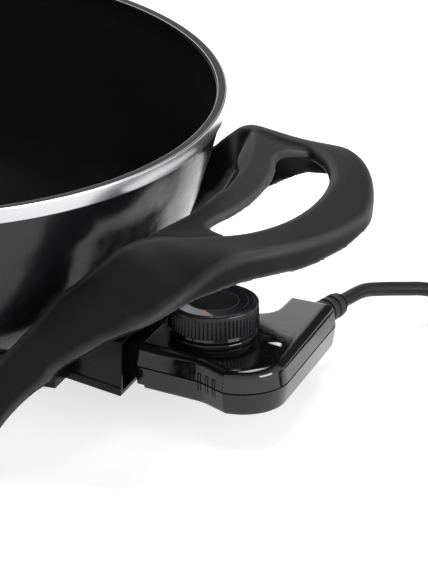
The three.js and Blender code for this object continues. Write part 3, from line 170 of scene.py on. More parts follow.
def catmull(points, steps):
    """Points on a centripetal curve through the given points."""
    line = [Vector(p) for p in points]
    line = [2 * line[0] - line[1]] + line + [2 * line[-1] - line[-2]]
    out = []
    for i in range(1, len(line) - 2):
        p0, p1, p2, p3 = line[i - 1:i + 3]
        t0 = 0
        t1 = t0 + (p1 - p0).length ** 0.5
        t2 = t1 + (p2 - p1).length ** 0.5
        t3 = t2 + (p3 - p2).length ** 0.5
        for s in range(steps):
            t = t1 + (t2 - t1) * s / steps
            a1 = p0 * ((t1 - t) / (t1 - t0)) + p1 * ((t - t0) / (t1 - t0))
            a2 = p1 * ((t2 - t) / (t2 - t1)) + p2 * ((t - t1) / (t2 - t1))
            a3 = p2 * ((t3 - t) / (t3 - t2)) + p3 * ((t - t2) / (t3 - t2))
            b1 = a1 * ((t2 - t) / (t2 - t0)) + a2 * ((t - t0) / (t2 - t0))
            b2 = a2 * ((t3 - t) / (t3 - t1)) + a3 * ((t - t1) / (t3 - t1))
            out.append(b1 * ((t2 - t) / (t2 - t1)) + b2 * ((t - t1) / (t2 - t1)))
    out.append(line[-2].copy())
    return out


def tube(name, path, radius, resolution):
    """A round bar along a path, with closed ends."""
    data = bpy.data.curves.new(name, "CURVE")
    data.dimensions = "3D"
    data.bevel_depth = radius * MM
    data.bevel_resolution = resolution
    data.use_fill_caps = True
    line = data.splines.new("POLY")
    line.points.add(len(path) - 1)
    for point, place in zip(line.points, path):
        point.co = (*(place * MM), 1)
    line.use_smooth = True
    return link(bpy.data.objects.new(name, data))


# Materials: every finish is made of nodes, with its grain at the real scale in metres

NOISE_RANGE = (0.3, 0.7)
ROUGHNESS_SPREAD = 0.05
METAL_POLISHED = 0.08
METAL_DULLED = 0.1
MIX_SHARE, MIX_FIRST, MIX_SECOND, MIX_RESULT = 0, 6, 7, 2


def finish(name, colour, roughness, metallic=0.0, specular=0.5):
    """A material with its even values set, to which the helpers below add nodes."""
    material = bpy.data.materials.new(name)
    material.use_nodes = True
    shader = material.node_tree.nodes["Principled BSDF"]
    shader.inputs["Base Color"].default_value = (*colour, 1)
    shader.inputs["Roughness"].default_value = roughness
    shader.inputs["Metallic"].default_value = metallic
    shader.inputs["Specular IOR Level"].default_value = specular
    return material


def noise(material, scale, detail):
    """Noise in the object's own place."""
    tree = material.node_tree
    place = tree.nodes.new("ShaderNodeTexCoord")
    node = tree.nodes.new("ShaderNodeTexNoise")
    node.inputs["Scale"].default_value = scale
    node.inputs["Detail"].default_value = detail
    tree.links.new(place.outputs["Object"], node.inputs["Vector"])
    return node.outputs["Fac"]


def mapped(tree, value, before, after):
    """Carries a number from one range over to another."""
    node = tree.nodes.new("ShaderNodeMapRange")
    for socket, number in zip(("From Min", "From Max", "To Min", "To Max"), (*before, *after)):
        node.inputs[socket].default_value = number
    tree.links.new(value, node.inputs["Value"])
    return node.outputs["Result"]


def blend_colours(material, value, first, second):
    """A colour between two, by a noise value."""
    node = material.node_tree.nodes.new("ShaderNodeValToRGB")
    for element, position, colour in zip(node.color_ramp.elements, NOISE_RANGE, (first, second)):
        element.position = position
        element.color = (*colour, 1)
    material.node_tree.links.new(value, node.inputs["Fac"])
    return node.outputs["Color"]


def into(material, output, socket):
    shader = material.node_tree.nodes["Principled BSDF"]
    material.node_tree.links.new(output, shader.inputs[socket])


def bump(material, height, depth):
    """A relief whose height runs from 0 to depth metres."""
    node = material.node_tree.nodes.new("ShaderNodeBump")
    node.inputs["Distance"].default_value = depth
    material.node_tree.links.new(height, node.inputs["Height"])
    into(material, node.outputs["Normal"], "Normal")


def grained(material, tone, grain, colours, gloss, depth):
    """Colour by one noise, and gloss and relief by another."""
    into(material, blend_colours(material, tone, *colours), "Base Color")
    into(material, mapped(material.node_tree, grain, NOISE_RANGE, gloss), "Roughness")
    bump(material, grain, depth)
    return material


def moulded(name, dark, light, roughness, grain, depth, specular=0.5, patch=35):
    """Moulded plastic, rubber or print: broad tone changes, and a fine grain in relief and gloss."""
    material = finish(name, dark, roughness, specular=specular)
    broad = noise(material, patch, 2)
    fine = noise(material, grain, 2)
    gloss = (roughness - ROUGHNESS_SPREAD, roughness + ROUGHNESS_SPREAD)
    return grained(material, broad, fine, (dark, light), gloss, depth)


def worn(material, light, low, high):
    """Painted highlight: lighter convex edges, standing in for the light that the rounded ridges catch.
    Low and high are values of pointiness.
    """
    tree = material.node_tree
    socket = tree.nodes["Principled BSDF"].inputs["Base Color"]
    body = socket.links[0].from_socket
    pointiness = tree.nodes.new("ShaderNodeNewGeometry").outputs["Pointiness"]
    mix = tree.nodes.new("ShaderNodeMix")
    mix.data_type = "RGBA"
    mix.inputs[MIX_SECOND].default_value = (*light, 1)
    tree.links.new(mapped(tree, pointiness, (low, high), (0, 1)), mix.inputs[MIX_SHARE])
    tree.links.new(body, mix.inputs[MIX_FIRST])
    tree.links.new(mix.outputs[MIX_RESULT], socket)


def metal(name, dark, light, roughness, grain=900, depth=0.00001):
    """Bare metal with fine marks."""
    material = finish(name, dark, roughness, metallic=1.0)
    marks = noise(material, grain, 3)
    gloss = (roughness - METAL_POLISHED, roughness + METAL_DULLED)
    return grained(material, marks, marks, (dark, light), gloss, depth)


def painted(obj, material):
    obj.data.materials.clear()
    obj.data.materials.append(material)


rim_metal = metal("rim_metal", (0.51, 0.51, 0.52), (0.56, 0.56, 0.57), 0.2, 6000, 0.000001)
# Painted shade: a near-black copy of the rim metal for the flat top of the rim.
rim_top_painted_shade = metal("rim_top_painted_shade", (0.012, 0.012, 0.013), (0.018, 0.018, 0.019), 0.42, 6000, 0.000001)
steel = metal("zinc_steel", (0.32, 0.33, 0.35), (0.45, 0.46, 0.48), 0.38)
element_metal = metal("element_sheath", (0.10, 0.10, 0.11), (0.17, 0.16, 0.16), 0.5)
brass = metal("contact_brass", (0.55, 0.40, 0.16), (0.68, 0.52, 0.24), 0.3)

enamel = moulded(
    "pan_enamel", (0.0025, 0.0025, 0.003), (0.0035, 0.0035, 0.004), 0.2, 220, 0.00004, 0.4)
coating = moulded(
    "pan_coating", (0.0025, 0.0025, 0.003), (0.004, 0.004, 0.0045), 0.5, 1500, 0.00002, 0.06)
handle_black = moulded(
    "handle_plastic", (0.0055, 0.0055, 0.006), (0.0085, 0.0085, 0.009), 0.48, 1400, 0.00005, 0.085)
# Painted highlight along the handle's convex edges and ridges.
worn(handle_black, (0.06, 0.06, 0.061), 0.504, 0.535)
# Painted shade: a darker, duller copy of the handle plastic for the hollow underside, where little light
# reaches.
underside_painted_shade = moulded(
    "handle_underside_painted_shade", (0.002, 0.002, 0.002), (0.003, 0.003, 0.003), 0.8, 2600, 0.00003, 0.04)
gloss_black = moulded(
    "gloss_plastic", (0.003, 0.003, 0.0035), (0.0045, 0.0045, 0.005), 0.10, 300, 0.000006, 0.5)
socket_black = moulded(
    "socket_plastic", (0.003, 0.003, 0.0035), (0.0045, 0.0045, 0.005), 0.25, 600, 0.00001, 0.22)
nose_black = moulded(
    "nose_plastic", (0.0015, 0.0015, 0.0018), (0.0025, 0.0025, 0.0028), 0.45, 1500, 0.00003, 0.08)
knob_black = moulded(
    "knob_plastic", (0.005, 0.005, 0.006), (0.009, 0.009, 0.010), 0.3, 1600, 0.00002, 0.3)
hub_black = moulded(
    "dial_hub_black", (0.002, 0.002, 0.002), (0.006, 0.006, 0.006), 0.5, 900, 0.00004, 0.08, 900)
rubber = moulded(
    "black_rubber", (0.010, 0.010, 0.011), (0.015, 0.015, 0.016), 0.55, 1800, 0.00004, 0.3)
jacket = moulded(
    "cord_jacket", (0.008, 0.008, 0.009), (0.012, 0.012, 0.013), 0.42, 1200, 0.00003, 0.2)
label_ink = moulded(
    "label_ink", (0.003, 0.003, 0.006), (0.005, 0.005, 0.011), 0.3, 1500, 0.00001, 0.1)
# Pale print, also used for a painted highlight on the dial hub's rim edge.
print_and_painted_highlight = moulded("print_and_painted_highlight", (0.07, 0.07, 0.08), (0.09, 0.09, 0.10), 0.4, 1500, 0.000005, 0.2)
print_blue = moulded("print_blue", (0.26, 0.26, 0.29), (0.31, 0.31, 0.34), 0.5, 1500, 0.000005, 0.1)
print_pink = moulded("print_pink", (0.34, 0.24, 0.25), (0.40, 0.29, 0.30), 0.5, 1500, 0.000005, 0.1)
print_dark = moulded("print_dark", (0.11, 0.11, 0.13), (0.13, 0.13, 0.15), 0.5, 1500, 0.000005, 0.1)
ceramic = moulded("ceramic", (0.62, 0.59, 0.52), (0.72, 0.69, 0.62), 0.6, 900, 0.00004)
lens_pale = moulded("lamp_lens", (0.62, 0.62, 0.60), (0.75, 0.75, 0.73), 0.25, 600, 0.00002)


# Camera, at the photograph's angle: turned 21 degrees to the right and raised 23

CAMERA_AZIMUTH = math.radians(21)
CAMERA_ELEVATION = math.radians(23.05)
CAMERA_AIM = Vector((0.1573, 0.0206, 0.0547))
CAMERA_DISTANCE = 5.753
CAMERA_LENS = 756.6
CAMERA_SIGHT = 200

back = Vector((
    math.sin(CAMERA_AZIMUTH) * math.cos(CAMERA_ELEVATION),
    -math.cos(CAMERA_AZIMUTH) * math.cos(CAMERA_ELEVATION),
    math.sin(CAMERA_ELEVATION),
))
camera_data = bpy.data.cameras.new("camera")
camera_data.lens = CAMERA_LENS
camera_data.clip_end = CAMERA_SIGHT
camera = link(bpy.data.objects.new("camera", camera_data))
camera.location = CAMERA_AIM + back * CAMERA_DISTANCE
camera.rotation_euler = back.to_track_quat("Z", "Y").to_euler()
bpy.context.scene.camera = camera
bpy.context.scene.view_settings.view_transform = "Standard"


# Lead: out of the gland, down to the floor, a coil of two layers, and on to the plug

CORD_DIAMETER = 0.007
COIL_CENTRE = Vector((282, 147, 0))
COIL_OUTER = 46
COIL_PITCH = 7.7
COIL_TURNS = 3.5
COIL_FLOOR = 4.4
COIL_RISE = 7.6
COIL_START = 150
COIL_POINTS = 84
CLIMB_START = 1.5
CLIMB_TURNS = 0.5
ROUTE_STEPS = 6
LEAD_ROUTE = [
    (198.841, 80.935, 27.7), (200.416, 87.756, 27.7), (204.1, 101.7, 27), (208.5, 110.3, 25),
    (217.1, 124.2, 21), (223.7, 133.8, 18), (230, 143.6, 12.5), (235.013, 157.616, 4.4),
    (238.513, 163.678, 4.4),
]
TAIL_ROUTE = [
    (318.187, 117.678, 12), (314.687, 111.616, 12), (309.8, 100.3, 9.4), (308.61, 92.31, 3.85),
    (308.03, 85.59, 5.73),
]


def coil_point(turn):
    """A point of the coil, which winds inwards, climbs one diameter, and winds out again."""
    radius = COIL_OUTER - COIL_PITCH * min(turn, COIL_TURNS - turn)
    angle = math.radians(COIL_START - 360 * turn)
    climb = min(max((turn - CLIMB_START) / CLIMB_TURNS, 0), 1)
    height = COIL_FLOOR + COIL_RISE * climb * climb * (3 - 2 * climb)
    return COIL_CENTRE + polar(radius, angle, height)


coil_route = [coil_point(COIL_TURNS * step / COIL_POINTS) for step in range(COIL_POINTS + 1)]
whole_route = catmull(LEAD_ROUTE, ROUTE_STEPS) + coil_route + catmull(TAIL_ROUTE, ROUTE_STEPS)
lead = tube("mains_lead", whole_route, CORD_DIAMETER / MM / 2, 6)
lead.data.materials.append(jacket)
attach(lead, "thermostat")
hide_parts("mains_cord", "cord_coil", "cord_tail")


# Driving sizes in millimetres, as in the part's source

GAP = 0.3
RIM_HEIGHT = 142
RIM_RADIUS = 160.5
RIM_WIDTH = 4.5
RIM_DEPTH = 7.5
RIM_SHEET = 1.3
PAN_FLOOR = 42.5
PAN_WALL = 3.4
GRIP_REACH = 82.5
LEG_SETBACK = 20
LEG_ANGLE = math.radians(52.5)
PLATE = 6.4
FOOT_HEIGHT = 3.7
STRAP_TOP = 39.7
CASE_FLOOR = 16
CASE_SPLIT = 27.7
CASE_TOP = 39
DIAL = Vector((165, 0, 0))
DIAL_RADIUS = 21.9
DIAL_TOP = 56.7
DIAL_SKIRT = 44.6


def placed(obj, body, slot, material, *nodes):
    """Paints a piece, puts it on its body and hides the CAD nodes it stands for."""
    painted(obj, material)
    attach(obj, body)
    if nodes:
        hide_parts(*nodes)
    return obj


# Pan: a cast wall with a smooth bowl, five bosses under it, and the bright rim

PAN_WALL_SHARES = [
    (0.998, 0.09), (0.968, 0.271), (0.952, 0.352), (0.924, 0.5), (0.888, 0.653), (0.861, 0.754),
    (0.829, 0.834), (0.794, 0.894), (0.744, 0.945), (0.681, 0.975), (0.599, 0.994), (0.505, 1),
]
PAN_STEPS = 192
WALL_STEPS = 5
FLAT_SHARE = 0.9
BOSS_X = 86
BOSS_Y = 40.5
BOSS_RADIUS = 5.5
BOSS_ROUND = 0.8
PLATE_BOSS_RADIUS = 9
PLATE_BOSS_FOOT = 33.6
PLATE_BOSS_HEAD = 44.2


def pan_bosses():
    """Four bosses for the straps' screws and one for the element plate's."""
    foot = STRAP_TOP + GAP
    head = PAN_FLOOR + PAN_WALL / 2
    profile = filleted([(0, foot), (BOSS_RADIUS, foot, BOSS_ROUND), (BOSS_RADIUS, head), (0, head)])
    bosses = []
    for x in (-BOSS_X, BOSS_X):
        for y in (-BOSS_Y, BOSS_Y):
            bosses.append(turned("boss", profile, 32, (x, y, 0)))
    bosses.append(turned("boss", [
        (0, PLATE_BOSS_FOOT), (PLATE_BOSS_RADIUS, PLATE_BOSS_FOOT),
        (PLATE_BOSS_RADIUS, PLATE_BOSS_HEAD), (0, PLATE_BOSS_HEAD),
    ], 40))
    return bosses


def pan():
    radius = RIM_RADIUS - RIM_SHEET - GAP
    depth = RIM_HEIGHT - PAN_FLOOR
    outer = catmull([(r * radius, 0, RIM_HEIGHT - d * depth) for r, d in PAN_WALL_SHARES], WALL_STEPS)
    inner = []
    for i, point in enumerate(outer):
        along = (outer[min(i + 1, len(outer) - 1)] - outer[max(i - 1, 0)]).normalized()
        inner.append(point + Vector((along.z, 0, -along.x)) * PAN_WALL)
    flange_top = RIM_HEIGHT - RIM_SHEET - GAP
    mouth = radius - PAN_WALL
    profile = [(0, PAN_FLOOR), (outer[-1].x * FLAT_SHARE, PAN_FLOOR)]
    profile += [(p.x, p.z) for p in reversed(outer)]
    profile += [(radius, RIM_HEIGHT - RIM_DEPTH), (radius, flange_top), (mouth, flange_top)]
    profile += [(p.x, p.z) for p in inner if p.x < mouth]
    profile += [(inner[-1].x * FLAT_SHARE, PAN_FLOOR + PAN_WALL), (0, PAN_FLOOR + PAN_WALL)]
    body = turned("pan_shell", profile, PAN_STEPS, angle=50)
    carved(body, pan_bosses(), "UNION", 50)
    body.data.materials.append(enamel)
    body.data.materials.append(coating)
    for face in body.data.polygons:
        centre = face.center / MM
        facing = centre.xy.dot(face.normal.xy)
        within = centre.xy.length < mouth + 1 and centre.z > PAN_FLOOR + 0.5
        face.material_index = 1 if within and (facing < 0 or face.normal.z > FACES_UP) else 0
    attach(body, "wok")
    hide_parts("wok_pan")


def rim():
    inside = RIM_RADIUS - RIM_WIDTH
    skirt = RIM_RADIUS - RIM_SHEET
    foot = RIM_HEIGHT - RIM_DEPTH
    loop = [
        (inside, RIM_HEIGHT - RIM_SHEET / 2), (inside, RIM_HEIGHT, 0.5), (RIM_RADIUS, RIM_HEIGHT, 0.8),
        (RIM_RADIUS, foot, 0.5), (skirt, foot, 0.4), (skirt, RIM_HEIGHT - RIM_SHEET, 0.6),
        (inside, RIM_HEIGHT - RIM_SHEET, 0.4), (inside, RIM_HEIGHT - RIM_SHEET / 2),
    ]
    band = turned("rim_band", filleted(loop, 6), PAN_STEPS, angle=40)
    placed(band, "wok", "rim_metal", rim_metal, "rim_ring")
    # The up-facing flat top of the rim gets the painted shade.
    band.data.materials.append(rim_top_painted_shade)
    for face in band.data.polygons:
        reach = face.center.xy.length / MM
        if face.normal.z > 0.9 and inside + 0.9 < reach < RIM_RADIUS - 0.8:
            face.material_index = 1


pan()
rim()


# Handles: the band that runs from leg to leg and the bar that closes its finger opening. A point is
# given by its shares of the leg's angle, of the grip's reach or the leg's setback, and of the height.
# A row of the band has an inner and an outer point, then in plate thicknesses the outer depth, the
# inner depth and the crown. A row of the bar has its inner edge, its ridge and its outer edge.

BAND = [
    ((0, 0.691, 0.176), (0, 1, 0.211), 1.4, 1, 0.1),
    ((0.07, 0.685, 0.176), (0.076, 0.97, 0.211), 1.75, 1, 0.1),
    ((0.152, 0.661, 0.176), (0.152, 0.927, 0.208), 1.95, 1, 0.12),
    ((0.23, 0.606, 0.176), (0.229, 0.872, 0.2), 2.15, 1, 0.12),
    ((0.286, 0.539, 0.176), (0.305, 0.8, 0.196), 2.15, 1, 0.15),
    ((0.333, 0.448, 0.176), (0.371, 0.71, 0.203), 2.2, 1.1, 0.2),
    ((0.387, 0.321, 0.174), (0.423, 0.632, 0.236), 2.0, 1.4, 0.22),
    ((0.453, 0.182, 0.172), (0.48, 0.57, 0.295), 1.4, 2, 0.35),
    ((0.533, 0.097, 0.195), (0.56, 0.518, 0.359), 1, 2.8, 0.5),
    ((0.615, 0.042, 0.255), (0.61, 0.453, 0.401), 1, 2.9, 0.5),
    ((0.667, -0.148, 0.32), (0.642, 0.338, 0.447), 1, 3.6, 0.45),
    ((0.705, -0.351, 0.355), (0.678, 0.242, 0.489), 1, 4, 0.4),
    ((0.747, -0.466, 0.405), (0.709, 0.179, 0.528), 1, 4.1, 0.35),
    ((0.79, -0.627, 0.465), (0.747, 0.09, 0.577), 1, 3.6, 0.45),
    ((0.844, -0.775, 0.525), (0.775, 0.042, 0.613), 1, 3.3, 0.3),
    ((0.905, -0.899, 0.588), (0.798, 0.001, 0.662), 1, 2.3, 0.25),
    ((0.971, -0.973, 0.662), (0.829, -0.19, 0.701), 1, 1.5, 0.2),
    ((1.038, -0.998, 0.746), (0.899, -0.45, 0.792), 1, 1.1, 0.15),
    ((1.101, -0.998, 0.852), (0.96, -0.516, 0.88), 1, 1, 0.12),
    ((1.143, -0.973, 0.972), (1, -0.524, 0.972), 1, 1, 0.12),
]
BAR = [
    ((0, 0.135, 0.181), (0, 0.158, 0.176), (0, 0.345, 0.176)),
    ((0.095, 0.132, 0.183), (0.095, 0.156, 0.176), (0.095, 0.34, 0.176)),
    ((0.19, 0.108, 0.197), (0.19, 0.152, 0.176), (0.171, 0.328, 0.176)),
    ((0.286, 0.07, 0.219), (0.286, 0.147, 0.176), (0.238, 0.31, 0.177)),
    ((0.381, 0.065, 0.238), (0.381, 0.145, 0.177), (0.28, 0.325, 0.178)),
    ((0.476, 0.097, 0.254), (0.47, 0.15, 0.184), (0.295, 0.37, 0.178)),
    ((0.552, 0.133, 0.264), (0.54, 0.175, 0.214), (0.3, 0.48, 0.18)),
]
BAND_STEPS = 7
SIDE_LEAN = 1.5
INNER_SLOPE = 0.12
SWELL_SKEW = 0.6
EDGE_ROUND = 1.6
RIDGE_ROUND = 2.6
SKIRT_WALL = 4.5
BAR_PLATE = 3.8
CROWN_POINTS = 12
HANDLE_VOXEL = 1.1
HANDLE_SMOOTHING = 12
LEG_BOSS = Vector((86, 97, 0))
LEG_BOSS_TURN = math.radians(84)
LEG_BOSS_INSIDE, LEG_BOSS_OUTSIDE, LEG_BOSS_HALF, LEG_BOSS_HEIGHT = 5.6, 16, 6.5, 9


def band_point(shares):
    angle_share, reach_share, drop_share = shares
    span = LEG_SETBACK if reach_share < 0 else GRIP_REACH
    height = RIM_HEIGHT * (1 - drop_share)
    return polar(RIM_RADIUS + reach_share * span, -angle_share * LEG_ANGLE, height)


def flipped(point):
    return Vector((point.x, -point.y, point.z))


def band_stations():
    """Inner point, outer point, and (outer depth, inner depth, crown), from one foot to the other."""
    half = [(band_point(row[0]), band_point(row[1]), Vector(row[2:]) * PLATE) for row in BAND]
    other = [(flipped(i), flipped(o), d) for i, o, d in reversed(half[1:])]
    return other + half


def band_section(station, along):
    """The band's cross-section: a crowned top, two flanks, and a hollow underside."""
    inner, outer, (outer_depth, inner_depth, crown) = station
    flat = (outer - inner).normalized()
    up = along.cross(flat).normalized()
    outward = Vector((outer.x, outer.y, 0)).normalized()
    if up.dot(outward) + up.z < 0:
        up = -up
    upright = Vector((0, 0, 1)) - along * along.z
    slope = flat * INNER_SLOPE * (inner_depth / PLATE - 1)
    inner_rise = (up + upright * SIDE_LEAN + slope).normalized()
    outer_rise = (up + upright * SIDE_LEAN * (outer_depth / PLATE - 1)).normalized()

    def at(origin, out, lift, rise=up):
        return origin + flat * out + rise * lift

    top = []
    for k in range(1, CROWN_POINTS):
        share = k / CROWN_POINTS
        rise = 1 - (2 * share ** SWELL_SKEW - 1) ** 2
        top.append(at(inner.lerp(outer, share), 0, crown * rise))
    return [
        at(inner, 0, -inner_depth, inner_rise),
        at(inner, 0, -EDGE_ROUND, inner_rise),
        at(inner, EDGE_ROUND * 0.3, -EDGE_ROUND * 0.3, inner_rise),
        at(inner, EDGE_ROUND, 0),
        *top,
        at(outer, -RIDGE_ROUND, 0),
        at(outer, -RIDGE_ROUND / 4, -RIDGE_ROUND / 4),
        at(outer, 0, -RIDGE_ROUND, outer_rise),
        at(outer, 0, -outer_depth, outer_rise),
        at(outer, -SKIRT_WALL, -outer_depth, outer_rise),
        at(outer, -SKIRT_WALL - EDGE_ROUND, -PLATE),
        at(inner, SKIRT_WALL + EDGE_ROUND, -PLATE),
        at(inner, SKIRT_WALL, -inner_depth, inner_rise),
    ]


def fair(rings, steps):
    """More rings, on smooth curves through the points of the given ones."""
    lines = [catmull(line, steps) for line in zip(*rings)]
    return list(zip(*lines))


def band_rings():
    stations = band_stations()
    middles = [(s[0] + s[1]) / 2 for s in stations]
    rings = []
    for i, station in enumerate(stations):
        along = (middles[min(i + 1, len(middles) - 1)] - middles[max(i - 1, 0)]).normalized()
        rings.append(band_section(station, along))
    drop = Vector((0, 0, -FOOT_HEIGHT * 3))
    rings = fair(rings, BAND_STEPS)
    return [[p + drop for p in rings[0]]] + rings + [[p + drop for p in rings[-1]]]


def bar_rings():
    curves = [catmull([band_point(row[k]) for row in BAR], BAND_STEPS) for k in range(3)]
    half = list(zip(*curves))
    whole = [tuple(flipped(p) for p in row) for row in reversed(half[1:])] + half
    rings = []
    for inner, ridge, outer in whole:
        flat = (outer - ridge).normalized()
        drop = Vector((0, 0, -1))
        rings.append([
            inner + drop * BAR_PLATE, inner, ridge, outer - flat * EDGE_ROUND,
            outer - flat * EDGE_ROUND * 0.3 + drop * EDGE_ROUND * 0.3,
            outer + drop * EDGE_ROUND, outer + drop * BAR_PLATE,
        ])
    return rings


def leg_bosses():
    foot = STRAP_TOP + GAP
    bosses = []
    for side in (-1, 1):
        boss = block(
            "boss", (-LEG_BOSS_INSIDE, -LEG_BOSS_HALF, foot),
            (LEG_BOSS_OUTSIDE, LEG_BOSS_HALF, foot + LEG_BOSS_HEIGHT))
        boss.data.transform(Matrix.Rotation(side * LEG_BOSS_TURN, 4, "Z"))
        boss.data.transform(Matrix.Translation(Vector((LEG_BOSS.x, side * LEG_BOSS.y, 0)) * MM))
        bosses.append(boss)
    return bosses


def handle_mesh():
    """Band, bar and leg bosses fused into one moulding with soft junctions, cut level at the feet."""
    parts = [stack("band", band_rings()), stack("bar", bar_rings())] + leg_bosses()
    work = bmesh.new()
    for part in parts:
        work.from_mesh(part.data)
        bpy.data.objects.remove(part)
    mesh = bpy.data.meshes.new("handle")
    work.to_mesh(mesh)
    work.free()
    whole = link(bpy.data.objects.new("handle", mesh))
    remesh = whole.modifiers.new("fuse", "REMESH")
    remesh.mode = "VOXEL"
    remesh.voxel_size = HANDLE_VOXEL * MM
    smooth = whole.modifiers.new("smooth", "SMOOTH")
    smooth.factor = 0.5
    smooth.iterations = HANDLE_SMOOTHING
    baked(whole)
    work = bmesh.new()
    work.from_mesh(whole.data)
    level = (FOOT_HEIGHT + GAP) * MM
    sides = work.verts[:] + work.edges[:] + work.faces[:]
    cut = bmesh.ops.bisect_plane(
        work, geom=sides, plane_co=(0, 0, level), plane_no=(0, 0, 1), clear_inner=True)
    edges = [e for e in cut["geom_cut"] if isinstance(e, bmesh.types.BMEdge)]
    bmesh.ops.holes_fill(work, edges=edges)
    work.to_mesh(whole.data)
    work.free()
    shade(whole.data, 60)
    mesh = whole.data
    bpy.data.objects.remove(whole)
    return mesh


def edge_tree(side):
    """A search tree of the band's inner or outer edge, seen from above."""
    edge = catmull([station[side] for station in band_stations()], BAND_STEPS)
    tree = KDTree(len(edge))
    for i, point in enumerate(edge):
        tree.insert(Vector((point.x, point.y, 0)) * MM, i)
    tree.balance()
    return tree


def channel_faces(mesh):
    """The faces inside the band's hollow underside, which get a painted shade."""
    inner, outer = edge_tree(0), edge_tree(1)
    found = []
    for face in mesh.polygons:
        flat = Vector((face.center.x, face.center.y, 0))
        inward = face.normal.dot(flat.normalized()) < FACES_INWARD
        far = outer.find(flat)[2] < inner.find(flat)[2]
        if face.normal.z < FACES_DOWN or face.normal.z < FACES_UP and inward and far:
            found.append(face.index)
    return found


def handles():
    right = handle_mesh()
    shaded_faces = channel_faces(right)
    left = right.copy()
    left.transform(Matrix.Rotation(math.pi, 4, "Z"))
    for side, mesh in (("right", right), ("left", left)):
        obj = link(bpy.data.objects.new(f"handle_{side}", mesh))
        placed(obj, "wok", "matte_black", handle_black, f"handle_frame_{side}")
        # The hollow underside gets the painted shade.
        mesh.materials.append(underside_painted_shade)
        for index in shaded_faces:
            mesh.polygons[index].material_index = 1


handles()


# Thermostat case: two glossy halves with rounded corners, vents and a window

CASE_CORNERS = [
    (133.4, -25, 2.6), (170, -32.2, 24), (185, -40.8, 2.6), (210.8, -40.8, 23), (206.8, 56.8, 2.6),
    (181, 59.6, 2.6), (180.4, 36.3, 9), (133.4, 25, 2.6),
]
CASE_WALL = 2.2
CASE_ROUND = 4.4
CASE_CORNER_STEPS = 12


def inset_corners(corners, distance):
    count = len(corners)
    sides = []
    for i, (x, y, _) in enumerate(corners):
        after = corners[(i + 1) % count]
        along = Vector((after[0] - x, after[1] - y)).normalized()
        sides.append((Vector((x, y)) + Vector((-along.y, along.x)) * distance, along))
    out = []
    for i, corner in enumerate(corners):
        start, along = sides[i - 1]
        other, ahead = sides[i]
        turn = along.x * ahead.y - along.y * ahead.x
        between = other - start
        away = (between.x * ahead.y - between.y * ahead.x) / turn
        point = start + along * away
        radius = max(corner[2] - math.copysign(distance, turn), GAP)
        out.append((point.x, point.y, radius))
    return out


def rounded_plan(inset, height):
    """The case's outline at a height, moved inwards, with every corner as an arc."""
    corners = inset_corners(CASE_CORNERS, inset)
    count = len(corners)
    ring = []
    for i, (x, y, radius) in enumerate(corners):
        here = Vector((x, y))
        back = (Vector(corners[i - 1][:2]) - here).normalized()
        ahead = (Vector(corners[(i + 1) % count][:2]) - here).normalized()
        half = back.angle(ahead) / 2
        centre = here + (back + ahead).normalized() * (radius / math.sin(half))
        reach = radius / math.tan(half)
        start = here + back * reach - centre
        end = here + ahead * reach - centre
        sweep = math.atan2(start.x * end.y - start.y * end.x, start.dot(end))
        for k in range(CASE_CORNER_STEPS + 1):
            angle = sweep * k / CASE_CORNER_STEPS
            arm = Matrix.Rotation(angle, 2) @ start
            ring.append((centre.x + arm.x, centre.y + arm.y, height))
    return ring


def case_shell(name, outside, inside):
    """A half of the case: its outer levels from the parting line, and its hollow."""
    rings = [rounded_plan(inset, z) for z, inset in reversed(inside)]
    rings += [rounded_plan(inset, z) for z, inset in outside]
    return stack(name, rings, 28)


def prism(name, plan, low, high):
    return stack(name, [[(x, y, z) for x, y in plan] for z in (low, high)])


BAR_TURN = Matrix.Rotation(math.pi / 2, 3, "Y")
GLAND = Vector((193.6, 58.233, CASE_SPLIT))
GLAND_TURN = Matrix.Rotation(math.radians(77), 3, "Z") @ BAR_TURN
GLAND_NECK = 5.3
WINDOW_TIP, WINDOW_BASE, WINDOW_HALF = 191, 200, 2.9
WINDOW_MARGIN = GAP * 2.5
SCREWS_IN_CASE = [(150, -20.5), (150, 20.5), (197, -22)]
RECESS_FLOOR, RECESS_ROOF, RECESS_RADIUS = 14, 20, 4.1
SHAFT_BORE = 3.3
VENT_START, VENT_PITCH, VENT_RISE = 169, 4.6, 4.6
VENT_SPAN = 2.1
VENT_SLOT = 0.55
VENT_FRONT, VENT_BACK = -42.8, -27.8
CASE_DRAFT = 0.9
PARTING_BEVEL = 0.25
ROUND_STEPS = 8


def vents(upper):
    """Three vents that cross the parting line: two slots each, joined by an arch in the upper half."""
    low = CASE_SPLIT - (1 if upper else VENT_RISE)
    high = CASE_SPLIT + (VENT_RISE if upper else 1)
    tools = []
    for i in range(3):
        x = VENT_START + VENT_PITCH * i
        for leg in (x, x + VENT_SPAN - VENT_SLOT):
            tools.append(block("vent", (leg, VENT_FRONT, low), (leg + VENT_SLOT, VENT_BACK, high)))
        if upper:
            arch = high - VENT_SLOT
            tools.append(block("vent_arch", (x, VENT_FRONT, arch), (x + VENT_SPAN, VENT_BACK, high)))
    return tools


def window():
    """The triangular hole that the lens sits in, with room all round."""
    middle = (WINDOW_TIP + 2 * WINDOW_BASE) / 3
    plan = []
    for x, y in ((WINDOW_TIP, 0), (WINDOW_BASE, -WINDOW_HALF), (WINDOW_BASE, WINDOW_HALF)):
        away = Vector((x - middle, y))
        away = away.normalized() * (away.length + WINDOW_MARGIN)
        plan.append((middle + away.x, away.y))
    return prism("window", plan, CASE_SPLIT + 2, CASE_TOP + 2)


